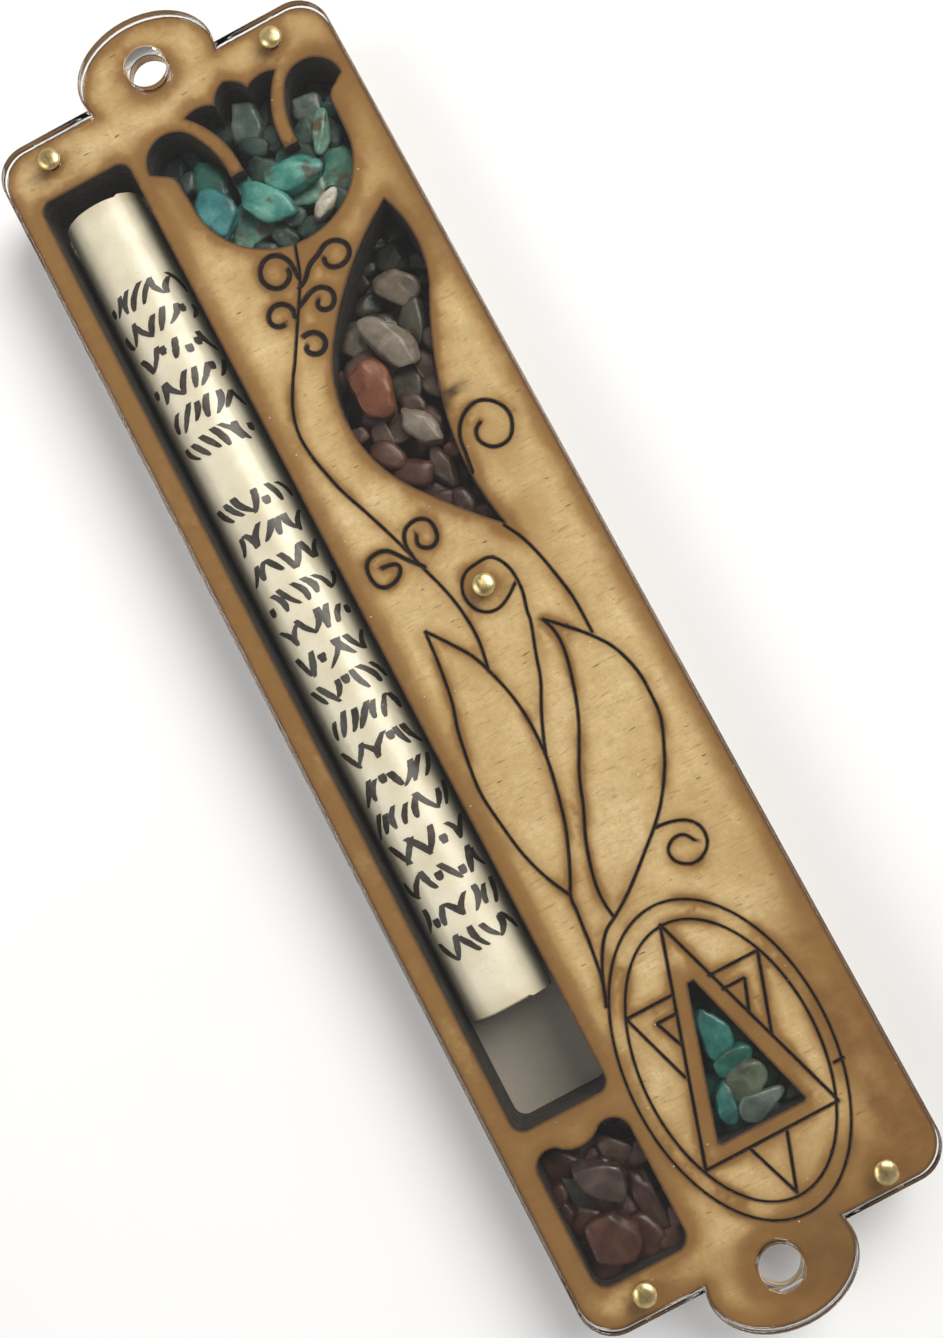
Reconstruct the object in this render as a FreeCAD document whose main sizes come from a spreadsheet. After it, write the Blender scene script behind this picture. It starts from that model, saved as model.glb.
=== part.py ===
import FreeCAD, Part
import math
import os
import Sketcher

# Mezuzah case: a narrow laser-cut wooden case with a clear front, an engraved flower,
# openings filled with gemstone chips and a long window that shows the rolled scroll.
#
# Frame: X is the width, Y the length (+Y is the top end), Z the thickness.
# The back face lies on Z = 0 and the clear cover faces +Z. Millimetres and degrees.

V = FreeCAD.Vector

SIZES = {
    # outline shared by every layer
    "case_width": 30.0,
    "case_length": 104.5,
    "case_corner": 2.8,
    "wood_inset": 0.12,
    "tab_half_width": 6.0,
    "tab_half_height": 4.4,
    "hanging_hole_spacing": 106.4,
    "hanging_hole_radius": 1.7,
    # layer thicknesses, from the back to the front
    "back_thick": 1.2,
    "core_layer_thick": 2.8,
    "panel_thick": 1.0,
    "cover_thick": 1.5,
    # scroll window, cut through the wooden layers
    "window_left": -13.1,
    "window_right": -5.1,
    "window_bottom": -36.1,
    "window_top": 47.4,
    "window_corner": 1.0,
    # sliding door behind the scroll
    "door_width": 7.36,
    "door_bevel": 0.9,
    "door_thick": 1.1,
    "door_top": 46.1,
    "door_gap": 0.12,
    "groove_length": 4.0,
    "groove_width": 0.7,
    "groove_depth": 0.4,
    "groove_pitch": 1.5,
    "groove_count": 3.0,
    # rolled scroll
    "scroll_width": 7.2,
    "scroll_height": 5.9,
    "scroll_length": 73.3,
    "scroll_low_end": -27.5,
    "scroll_lift": 0.2,
    # brass pins
    "pin_head_radius": 0.95,
    "pin_head_height": 0.45,
    "pin_shank_radius": 0.45,
    "pin_hole_radius": 0.5,
    "pin_shank_length": 7.0,
    # gemstone chips lie in four courses between the back plate and the cover
    "course_pitch": 1.65,
    "chip_thick": 1.5,
}

# Places of the five pin heads, as they were hammered in.
PINS = [(-10.5, 50.1), (10.1, 50.2), (4.4, 2.2), (-9.9, -50.4), (10.1, -50.6)]

TULIP_CENTRE_X = 5.0
VESSEL_CENTRE_X = -9.07

# Outlines are a start point followed by steps: ("line", end) or ("arc", point on it, end).
# Half of the tulip, from the middle of its base round to the tip of its middle petal.
# The first coordinate is the distance from the tulip's own centre line.
TULIP_HALF = [
    (0.0, 34.2),
    ("arc", (4.93, 36.24), (6.9, 40.2)),
    ("line", (7.05, 43.2)),
    ("arc", (7.3, 44.1), (7.9, 44.6)),
    ("line", (8.85, 45.25)),
    ("arc", (6.3, 47.7), (4.2, 46.3)),
    ("arc", (3.36, 44.3), (3.1, 41.8)),
    ("line", (1.9, 41.8)),
    ("arc", (2.45, 45.4), (4.15, 48.1)),
    ("arc", (2.8, 48.35), (1.5, 47.85)),
    ("arc", (0.95, 48.75), (0.0, 49.3)),
]

# The filled leaf, from its top tip down the right side and back up the left side.
LEAF = [
    (12.0, 34.0),
    ("arc", (12.75, 30.2), (11.95, 26.1)),
    ("arc", (9.65, 21.0), (8.2, 16.2)),
    ("arc", (7.65, 11.2), (8.2, 5.9)),
    ("arc", (5.4, 9.0), (3.3, 11.7)),
    ("arc", (0.92, 18.9), (2.8, 25.2)),
    ("arc", (6.9, 30.1), (12.0, 34.0)),
]

# Half of the small vessel, from the dip in its rim round to the middle of its base.
VESSEL_HALF = [
    (0.0, -39.0),
    ("arc", (1.0, -38.8), (1.75, -38.3)),
    ("arc", (3.15, -38.25), (3.89, -39.6)),
    ("line", (3.89, -47.8)),
    ("arc", (3.55, -48.63), (2.7, -48.97)),
    ("line", (0.0, -48.97)),
]

# The tall triangle inside the star.
TRIANGLE = [
    (4.25, -32.0),
    ("line", (7.5, -43.4)),
    ("line", (7.3, -43.6)),
    ("line", (0.35, -43.6)),
    ("line", (0.15, -43.4)),
    ("line", (3.75, -32.0)),
    ("line", (4.25, -32.0)),
]

# Gemstone chips: x, y, course (0 at the back), length, width, angle of the length to +X.
CHIPS = {
    "tulip": [
        (6.6, 39.9, 3, 4.2, 2.0, -15),
        (3.5, 38.7, 3, 4.4, 1.9, -55),
        (6.7, 38.6, 2, 3.6, 1.8, 2),
        (-0.5, 40.1, 3, 4.1, 2.1, 97),
        (1.1, 38.1, 2, 3.8, 2.4, 22),
        (3.6, 36.2, 2, 2.3, 1.3, -72),
        (4.7, 37.3, 1, 2.6, 2.0, 80),
        (7.7, 36.3, 3, 2.5, 0.9, 26),
        (10.0, 38.9, 2, 4.0, 2.4, 68),
        (10.1, 41.9, 3, 3.4, 1.0, 60),
        (10.2, 44.9, 2, 2.6, 1.7, 75),
        (5.0, 46.4, 2, 3.4, 1.9, 88),
        (5.2, 44.2, 1, 2.8, 2.2, -20),
        (0.2, 44.6, 1, 2.6, 1.6, -50),
        (1.8, 40.3, 1, 2.0, 1.6, 40),
    ],
    "leaf": [
        (10.5, 30.7, 1, 2.8, 2.1, 60),
        (9.6, 27.9, 2, 3.6, 2.2, -45),
        (7.3, 28.2, 1, 2.6, 1.9, 35),
        (7.0, 23.7, 3, 5.0, 2.2, -66),
        (9.3, 24.6, 2, 3.6, 1.8, 68),
        (4.8, 25.2, 2, 2.8, 2.0, 50),
        (4.0, 20.8, 3, 4.6, 2.5, 84),
        (6.7, 20.3, 2, 3.2, 2.1, 72),
        (2.9, 17.5, 2, 3.0, 1.4, 88),
        (6.0, 16.3, 3, 3.6, 1.7, -64),
        (5.1, 16.4, 1, 3.2, 2.2, 60),
        (6.0, 12.7, 2, 3.2, 1.8, -75),
    ],
    "vessel": [
        (-9.0, -41.8, 3, 4.2, 2.3, -52),
        (-11.2, -42.7, 2, 3.4, 1.7, -60),
        (-10.2, -46.2, 3, 4.0, 3.0, -38),
        (-9.0, -45.1, 2, 2.6, 2.0, -30),
        (-6.6, -45.2, 2, 4.6, 1.8, 88),
        (-7.1, -41.0, 2, 3.0, 1.8, -62),
    ],
    "triangle": [
        (3.8, -36.4, 3, 3.0, 1.2, 86),
        (4.2, -38.7, 3, 2.4, 1.1, 8),
        (4.1, -40.4, 3, 2.6, 1.6, 5),
        (2.0, -41.2, 3, 2.4, 0.8, 76),
        (4.5, -42.4, 3, 2.8, 1.1, 4),
        (5.6, -41.1, 2, 1.9, 1.1, -72),
    ],
}

# Chips of the lowest course, mostly hidden under the others: x, y, length, width, angle.
UNDER_CHIPS = {
    "tulip": [
        (1.2, 37.6, 3.4, 2.2, -40),
        (4.2, 36.4, 3.0, 2.2, 10),
        (8.0, 37.2, 3.4, 2.2, 30),
        (5.2, 39.6, 3.4, 2.4, -20),
        (9.6, 41.0, 3.2, 2.2, 80),
        (0.0, 41.6, 3.0, 2.2, 75),
    ],
    "leaf": [
        (9.8, 28.2, 3.6, 2.4, 60),
        (6.6, 25.6, 3.6, 2.6, 30),
        (4.2, 21.6, 3.8, 2.6, 80),
        (7.2, 21.8, 3.0, 2.0, 70),
        (4.6, 16.8, 3.8, 2.8, -70),
        (6.0, 12.4, 3.0, 1.8, -60),
    ],
    "vessel": [
        (-10.4, -41.0, 3.6, 2.4, 20),
        (-7.2, -42.0, 3.4, 2.2, -70),
        (-10.4, -45.4, 3.6, 2.6, 60),
        (-7.4, -46.4, 3.0, 2.2, 10),
    ],
    "triangle": [
        (4.0, -37.2, 3.0, 1.4, 88),
        (3.2, -40.9, 3.0, 1.6, 40),
        (5.3, -42.0, 2.4, 1.4, -20),
    ],
}


def make_sheet(doc):
    """Put the driving dimensions in a spreadsheet, one aliased cell each."""
    sheet = doc.addObject("Spreadsheet::Sheet", "sizes")
    for row, (alias, value) in enumerate(SIZES.items(), start=1):
        sheet.set("A%d" % row, alias)
        sheet.set("B%d" % row, str(value))
        sheet.setAlias("B%d" % row, alias)
    doc.recompute()
    return sheet


# Heights of the layers' lower and upper faces, as expressions on the sheet.
BACK_TOP = "sizes.back_thick"
CORE_MIDDLE = "sizes.back_thick + sizes.core_layer_thick"
CORE_TOP = "sizes.back_thick + 2 * sizes.core_layer_thick"
PANEL_TOP = CORE_TOP + " + sizes.panel_thick"
COVER_TOP = PANEL_TOP + " + sizes.cover_thick"
DOOR_CENTRE_X = "(sizes.window_left + sizes.window_right) / 2"


def origin_plane(body, role):
    for feature in body.Origin.OriginFeatures:
        if feature.Role == role:
            return feature
    raise ValueError("no origin plane " + role)


def new_sketch(body, name, height, role="XY_Plane"):
    """A sketch on one of the body's origin planes, lifted by the height expression."""
    sketch = body.newObject("Sketcher::SketchObject", name)
    sketch.AttachmentSupport = [(origin_plane(body, role), "")]
    sketch.MapMode = "FlatFace"
    sketch.setExpression("AttachmentOffset.Base.z", height)
    return sketch


def new_pad(body, sketch, length):
    """Pad a sketch upwards by the length expression."""
    pad = body.newObject("PartDesign::Pad", sketch.Name + "_pad")
    pad.Profile = sketch
    pad.setExpression("Length", length)
    sketch.Visibility = False
    return pad


def new_pocket(body, sketch, depth=None, upwards=False):
    """Cut a sketch down through the whole body, or to the depth expression."""
    pocket = body.newObject("PartDesign::Pocket", sketch.Name + "_pocket")
    pocket.Profile = sketch
    pocket.Reversed = upwards
    if depth is None:
        pocket.Type = "ThroughAll"
    else:
        pocket.setExpression("Length", depth)
    sketch.Visibility = False
    return pocket


def constrain(sketch, *args):
    return sketch.addConstraint(Sketcher.Constraint(*args))


def drive(sketch, index, name, expression):
    """Name a dimension of a sketch and bind it to the sheet."""
    sketch.renameConstraint(index, name)
    sketch.setExpression("Constraints." + name, expression)


def rounded_rectangle(sketch, left, right, bottom, top, corner, drives):
    """Four lines and four tangent arcs; drives binds the sides and the corner radius."""
    spots = [
        (V(left + corner, bottom, 0), V(right - corner, bottom, 0)),
        (V(right, bottom + corner, 0), V(right, top - corner, 0)),
        (V(right - corner, top, 0), V(left + corner, top, 0)),
        (V(left, top - corner, 0), V(left, bottom + corner, 0)),
    ]
    centres = [
        V(right - corner, bottom + corner, 0),
        V(right - corner, top - corner, 0),
        V(left + corner, top - corner, 0),
        V(left + corner, bottom + corner, 0),
    ]
    lines = [sketch.addGeometry(Part.LineSegment(a, b), False) for a, b in spots]
    arcs = []
    for quarter, centre in enumerate(centres):
        start = math.radians(90 * (quarter - 1))
        circle = Part.Circle(centre, V(0, 0, 1), corner)
        arcs.append(sketch.addGeometry(Part.ArcOfCircle(circle, start, start + math.pi / 2), False))
    for side in range(4):
        constrain(sketch, "Tangent", lines[side], 2, arcs[side], 1)
        constrain(sketch, "Tangent", arcs[side], 2, lines[(side + 1) % 4], 1)
    constrain(sketch, "Horizontal", lines[0])
    constrain(sketch, "Vertical", lines[1])
    constrain(sketch, "Horizontal", lines[2])
    constrain(sketch, "Vertical", lines[3])
    for arc in arcs[1:]:
        constrain(sketch, "Equal", arcs[0], arc)
    named = {
        "corner": constrain(sketch, "Radius", arcs[0], corner),
        "left": constrain(sketch, "DistanceX", -1, 1, lines[3], 1, left),
        "right": constrain(sketch, "DistanceX", -1, 1, lines[1], 1, right),
        "bottom": constrain(sketch, "DistanceY", -1, 1, lines[0], 1, bottom),
        "top": constrain(sketch, "DistanceY", -1, 1, lines[2], 1, top),
    }
    for name, index in named.items():
        drive(sketch, index, name, drives[name])


def circle(sketch, x, y, radius, name, radius_drive, y_drive=None):
    """A circle fixed in X, with its radius and perhaps its Y bound to the sheet."""
    index = sketch.addGeometry(Part.Circle(V(x, y, 0), V(0, 0, 1), radius), False)
    drive(sketch, constrain(sketch, "Radius", index, radius), name + "_radius", radius_drive)
    constrain(sketch, "DistanceX", -1, 1, index, 3, x)
    height = constrain(sketch, "DistanceY", -1, 1, index, 3, y)
    if y_drive:
        drive(sketch, height, name + "_y", y_drive)


def tab_ellipse(sketch, y, half_width, half_height):
    """A full ellipse round a hanging hole; the part inside the case vanishes in it."""
    sketch.addGeometry(Part.Ellipse(V(half_width, y, 0), V(0, y + half_height, 0), V(0, y, 0)), False)


def outline(sketch, path):
    """Close a path of lines and arcs in a sketch."""
    start = path[0]
    indices = []
    for step in path[1:]:
        a = V(start[0], start[1], 0)
        b = V(step[-1][0], step[-1][1], 0)
        if step[0] == "line":
            edge = Part.LineSegment(a, b)
        else:
            edge = Part.Arc(a, V(step[1][0], step[1][1], 0), b)
        indices.append(sketch.addGeometry(edge, False))
        start = step[-1]
    for index in indices:
        constrain(sketch, "Block", index)


def mirrored(half, centre_x):
    """The full outline of a half one, whose first coordinate counts from centre_x."""
    def place(point, side):
        return (centre_x + side * point[0], point[1])

    path = [place(half[0], 1)]
    for step in half[1:]:
        path.append((step[0],) + tuple(place(p, 1) for p in step[1:]))
    ends = [half[0]] + [step[-1] for step in half[1:]]
    for number in range(len(half) - 1, 0, -1):
        step = half[number]
        via = tuple(place(p, -1) for p in step[1:-1])
        path.append((step[0],) + via + (place(ends[number - 1], -1),))
    return path


def case_plate(doc, name, floor, thick, inset, tabs):
    """One full-size layer: a rounded plate, with or without the two hanging tabs."""
    body = doc.addObject("PartDesign::Body", name)
    half_width = SIZES["case_width"] / 2 - inset
    half_length = SIZES["case_length"] / 2 - inset
    trim = " - sizes.wood_inset" if inset else ""
    plate = new_sketch(body, name + "_plate", floor)
    rounded_rectangle(
        plate, -half_width, half_width, -half_length, half_length, SIZES["case_corner"],
        {
            "left": "-(sizes.case_width / 2" + trim + ")",
            "right": "sizes.case_width / 2" + trim,
            "bottom": "-(sizes.case_length / 2" + trim + ")",
            "top": "sizes.case_length / 2" + trim,
            "corner": "sizes.case_corner",
        },
    )
    new_pad(body, plate, thick)
    if tabs:
        for end, side in (("top", 1), ("bottom", -1)):
            tab = new_sketch(body, name + "_" + end + "_tab", floor)
            tab_ellipse(
                tab, side * SIZES["hanging_hole_spacing"] / 2,
                SIZES["tab_half_width"] - inset, SIZES["tab_half_height"] - inset,
            )
            new_pad(body, tab, thick)
        holes = new_sketch(body, name + "_hanging_holes", floor + " + " + thick)
        for end, side in (("top", ""), ("bottom", "-")):
            y = float(side + "1") * SIZES["hanging_hole_spacing"] / 2
            circle(
                holes, 0, y, SIZES["hanging_hole_radius"], end, "sizes.hanging_hole_radius",
                side + "sizes.hanging_hole_spacing / 2",
            )
        new_pocket(body, holes)
    return body


def cut_pin_holes(body, top):
    holes = new_sketch(body, body.Name + "_pin_holes", top)
    for number, (x, y) in enumerate(PINS):
        circle(holes, x, y, SIZES["pin_hole_radius"], "pin_%d" % number, "sizes.pin_hole_radius")
    new_pocket(body, holes)


def cut_window(body, top):
    """The long window for the scroll."""
    window = new_sketch(body, body.Name + "_window", top)
    rounded_rectangle(
        window, SIZES["window_left"], SIZES["window_right"], SIZES["window_bottom"],
        SIZES["window_top"], SIZES["window_corner"],
        {
            "left": "sizes.window_left",
            "right": "sizes.window_right",
            "bottom": "sizes.window_bottom",
            "top": "sizes.window_top",
            "corner": "sizes.window_corner",
        },
    )
    new_pocket(body, window)


def cut_chip_openings(body, top):
    """The tulip, leaf, vessel and triangle that the chips fill."""
    shapes = {
        "tulip": mirrored(TULIP_HALF, TULIP_CENTRE_X),
        "leaf": LEAF,
        "vessel": mirrored(VESSEL_HALF, VESSEL_CENTRE_X),
        "triangle": TRIANGLE,
    }
    for name, path in shapes.items():
        sketch = new_sketch(body, body.Name + "_" + name, top)
        outline(sketch, path)
        new_pocket(body, sketch)


def make_cover(doc):
    body = case_plate(doc, "front_cover", PANEL_TOP, "sizes.cover_thick", 0, True)
    cut_pin_holes(body, COVER_TOP)


def make_wooden_layers(doc):
    inset = SIZES["wood_inset"]
    layers = [
        ("front_panel", CORE_TOP, "sizes.panel_thick", PANEL_TOP, True),
        ("core_layer_front", CORE_MIDDLE, "sizes.core_layer_thick", CORE_TOP, False),
        ("core_layer_rear", BACK_TOP, "sizes.core_layer_thick", CORE_MIDDLE, False),
    ]
    for name, floor, thick, top, tabs in layers:
        body = case_plate(doc, name, floor, thick, inset, tabs)
        cut_window(body, top)
        cut_chip_openings(body, top)
        cut_pin_holes(body, top)


def trapezium(sketch, low_width, bevel, thick, drives):
    """A flat-bottomed dovetail section that widens by the bevel on each side."""
    centre = (SIZES["window_left"] + SIZES["window_right"]) / 2
    corners = [
        V(centre - low_width / 2, 0, 0),
        V(centre + low_width / 2, 0, 0),
        V(centre + low_width / 2 + bevel, thick, 0),
        V(centre - low_width / 2 - bevel, thick, 0),
    ]
    for number in range(4):
        sketch.addGeometry(Part.LineSegment(corners[number], corners[(number + 1) % 4]), False)
    for number in range(4):
        constrain(sketch, "Coincident", number, 2, (number + 1) % 4, 1)
    constrain(sketch, "Horizontal", 2)
    constrain(sketch, "DistanceY", -1, 1, 0, 1, 0)
    constrain(sketch, "DistanceY", -1, 1, 0, 2, 0)
    named = {
        "low_left": constrain(sketch, "DistanceX", -1, 1, 0, 1, corners[0].x),
        "low_right": constrain(sketch, "DistanceX", -1, 1, 0, 2, corners[1].x),
        "high_right": constrain(sketch, "DistanceX", -1, 1, 2, 1, corners[2].x),
        "high_left": constrain(sketch, "DistanceX", -1, 1, 2, 2, corners[3].x),
        "thick": constrain(sketch, "DistanceY", 0, 2, 2, 1, thick),
    }
    for name, index in named.items():
        drive(sketch, index, name, drives[name])


def dovetail_drives(low_half, bevel, thick):
    """Expressions for a dovetail centred behind the scroll."""
    return {
        "low_left": DOOR_CENTRE_X + " - (" + low_half + ")",
        "low_right": DOOR_CENTRE_X + " + " + low_half,
        "high_right": DOOR_CENTRE_X + " + " + low_half + " + " + bevel,
        "high_left": DOOR_CENTRE_X + " - (" + low_half + " + " + bevel + ")",
        "thick": thick,
    }


def make_back_plate(doc):
    """The back plate, with a dovetail slot that is open at the lower end."""
    body = case_plate(doc, "back_plate", "0", "sizes.back_thick", SIZES["wood_inset"], False)
    slot = new_sketch(body, "door_slot", "sizes.case_length / 2 + 1", "XZ_Plane")
    low_half = "sizes.door_width / 2 + sizes.door_gap"
    slope = "sizes.door_bevel * sizes.back_thick / sizes.door_thick"
    trapezium(
        slot, SIZES["door_width"] + 2 * SIZES["door_gap"], SIZES["door_bevel"], SIZES["back_thick"],
        dovetail_drives(low_half, slope, "sizes.back_thick"),
    )
    length = "sizes.case_length / 2 + 1 + sizes.door_top + sizes.door_gap"
    new_pocket(body, slot, length)


def make_door(doc):
    """The door that slides out at the lower end, with three grip grooves across its back."""
    body = doc.addObject("PartDesign::Body", "scroll_door")
    section = new_sketch(body, "door_section", "sizes.case_length / 2 - sizes.wood_inset", "XZ_Plane")
    trapezium(
        section, SIZES["door_width"], SIZES["door_bevel"], SIZES["door_thick"],
        dovetail_drives("sizes.door_width / 2", "sizes.door_bevel", "sizes.door_thick"),
    )
    pad = new_pad(body, section, "sizes.case_length / 2 - sizes.wood_inset + sizes.door_top")
    pad.Reversed = True
    doc.recompute()

    groove = new_sketch(body, "grip_groove", "0")
    half_length = SIZES["groove_length"] / 2
    half_width = SIZES["groove_width"] / 2
    centre_x = (SIZES["window_left"] + SIZES["window_right"]) / 2
    centre_y = -SIZES["case_length"] / 2 + 3
    rounded_rectangle(
        groove, centre_x - half_length, centre_x + half_length,
        centre_y - half_width, centre_y + half_width, half_width * 0.9,
        {
            "left": DOOR_CENTRE_X + " - sizes.groove_length / 2",
            "right": DOOR_CENTRE_X + " + sizes.groove_length / 2",
            "bottom": "-sizes.case_length / 2 + 3 - sizes.groove_width / 2",
            "top": "-sizes.case_length / 2 + 3 + sizes.groove_width / 2",
            "corner": "sizes.groove_width * 0.45",
        },
    )
    pocket = new_pocket(body, groove, "sizes.groove_depth", upwards=True)
    doc.recompute()
    row = body.newObject("PartDesign::LinearPattern", "grip_grooves")
    row.Originals = [pocket]
    row.Direction = (groove, ["V_Axis"])
    row.Occurrences = int(SIZES["groove_count"])
    row.setExpression("Length", "sizes.groove_pitch * (sizes.groove_count - 1)")
    body.Tip = row


def make_scroll(doc):
    """The rolled scroll, slightly flattened, lying on the door."""
    body = doc.addObject("PartDesign::Body", "scroll")
    section = new_sketch(body, "scroll_section", "-sizes.scroll_low_end", "XZ_Plane")
    centre = V(
        (SIZES["window_left"] + SIZES["window_right"]) / 2,
        SIZES["back_thick"] + SIZES["scroll_lift"] + SIZES["scroll_height"] / 2, 0,
    )
    half_width = SIZES["scroll_width"] / 2
    half_height = SIZES["scroll_height"] / 2
    major = centre + V(half_width, 0, 0)
    minor = centre + V(0, half_height, 0)
    section.addGeometry(Part.Ellipse(major, minor, centre), False)
    pad = new_pad(body, section, "sizes.scroll_length")
    pad.Reversed = True


def make_pins(doc):
    """Five brass pins with domed heads that hold the cover on, as one group of solids."""
    pins = []
    for number, (x, y) in enumerate(PINS):
        shank = doc.addObject("Part::Cylinder", "pin_%d_shank" % number)
        shank.setExpression("Radius", "sizes.pin_shank_radius")
        shank.setExpression("Height", "sizes.pin_shank_length")
        shank.Placement.Base = V(x, y, 0)
        shank.setExpression("Placement.Base.z", COVER_TOP + " - sizes.pin_shank_length")
        head = doc.addObject("Part::Ellipsoid", "pin_%d_head" % number)
        head.setExpression("Radius1", "sizes.pin_head_height")
        head.setExpression("Radius2", "sizes.pin_head_radius")
        head.setExpression("Radius3", "sizes.pin_head_radius")
        head.Angle1 = 0
        head.Placement.Base = V(x, y, 0)
        head.setExpression("Placement.Base.z", COVER_TOP)
        pin = doc.addObject("Part::Fuse", "pin_%d" % number)
        pin.Base = shank
        pin.Tool = head
        pins.append(pin)
    group = doc.addObject("Part::Compound", "brass_pins")
    group.Links = pins


def make_chip(doc, name, x, y, course, length, width, angle):
    """One tumbled chip: a flat ellipsoid lying in its course."""
    chip = doc.addObject("Part::Ellipsoid", name)
    chip.setExpression("Radius1", "sizes.chip_thick / 2")
    chip.Radius2 = length / 2
    chip.Radius3 = width / 2
    chip.Placement = FreeCAD.Placement(V(x, y, 0), FreeCAD.Rotation(V(0, 0, 1), angle))
    chip.setExpression("Placement.Base.z", "sizes.back_thick + sizes.course_pitch * %.1f" % (course + 0.5))
    return chip


def make_chips(doc):
    names = []
    for opening, chips in CHIPS.items():
        for number, chip in enumerate(chips, start=1):
            name = "%s_chip_%02d" % (opening, number)
            make_chip(doc, name, *chip)
            names.append(name)
    for opening, chips in UNDER_CHIPS.items():
        links = []
        for number, (x, y, length, width, angle) in enumerate(chips, start=1):
            name = "%s_under_chip_%d" % (opening, number)
            links.append(make_chip(doc, name, x, y, 0, length, width, angle))
        group = doc.addObject("Part::Compound", opening + "_under_chips")
        group.Links = links
        names.append(group.Name)
    return names


def check(doc, names):
    """Stop on any failed object and on any sub-part without a valid solid."""
    doc.recompute()
    for item in doc.Objects:
        if "Invalid" in item.State or "Error" in item.State:
            raise RuntimeError("failed object: " + item.Name)
    for name in names:
        shape = doc.getObject(name).Shape
        if shape.isNull() or not shape.isValid() or not shape.Solids:
            raise RuntimeError("bad shape: " + name)


def main():
    doc = FreeCAD.newDocument("mezuzah_case")
    make_sheet(doc)
    make_back_plate(doc)
    make_wooden_layers(doc)
    make_cover(doc)
    make_door(doc)
    make_scroll(doc)
    make_pins(doc)
    names = [
        "front_cover", "front_panel", "core_layer_front", "core_layer_rear", "back_plate",
        "scroll_door", "scroll", "brass_pins",
    ] + make_chips(doc)
    check(doc, names)
    os.makedirs("parts", exist_ok=True)
    for name in names:
        part = doc.getObject(name)
        part.Label = name
        part.Shape.exportStep("parts/" + name + ".step")
        print(name, len(part.Shape.Solids), round(part.Shape.Volume, 2))


main()
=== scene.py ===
import math
import random

import bmesh
import bpy
import numpy as np
from mathutils import Matrix, Vector, geometry, kdtree, noise


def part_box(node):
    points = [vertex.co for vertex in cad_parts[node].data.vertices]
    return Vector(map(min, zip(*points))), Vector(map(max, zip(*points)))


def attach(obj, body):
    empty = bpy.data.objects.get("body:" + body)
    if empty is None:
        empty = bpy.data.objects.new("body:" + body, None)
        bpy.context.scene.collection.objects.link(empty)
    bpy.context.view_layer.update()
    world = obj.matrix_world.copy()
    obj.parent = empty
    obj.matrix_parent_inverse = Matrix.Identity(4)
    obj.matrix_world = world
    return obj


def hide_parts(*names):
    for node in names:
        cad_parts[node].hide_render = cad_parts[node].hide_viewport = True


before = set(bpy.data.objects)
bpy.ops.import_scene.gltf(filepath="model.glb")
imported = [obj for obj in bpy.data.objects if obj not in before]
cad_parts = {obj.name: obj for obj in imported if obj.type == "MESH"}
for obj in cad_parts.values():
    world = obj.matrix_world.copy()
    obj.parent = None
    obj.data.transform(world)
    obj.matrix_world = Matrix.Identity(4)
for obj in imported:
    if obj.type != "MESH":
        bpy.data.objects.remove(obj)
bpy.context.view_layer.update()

# Mezuzah case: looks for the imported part. Lengths below are millimetres unless said otherwise.

MM = 0.001

# Corner radius of the core's outline.
CORNER = 2.8

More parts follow.
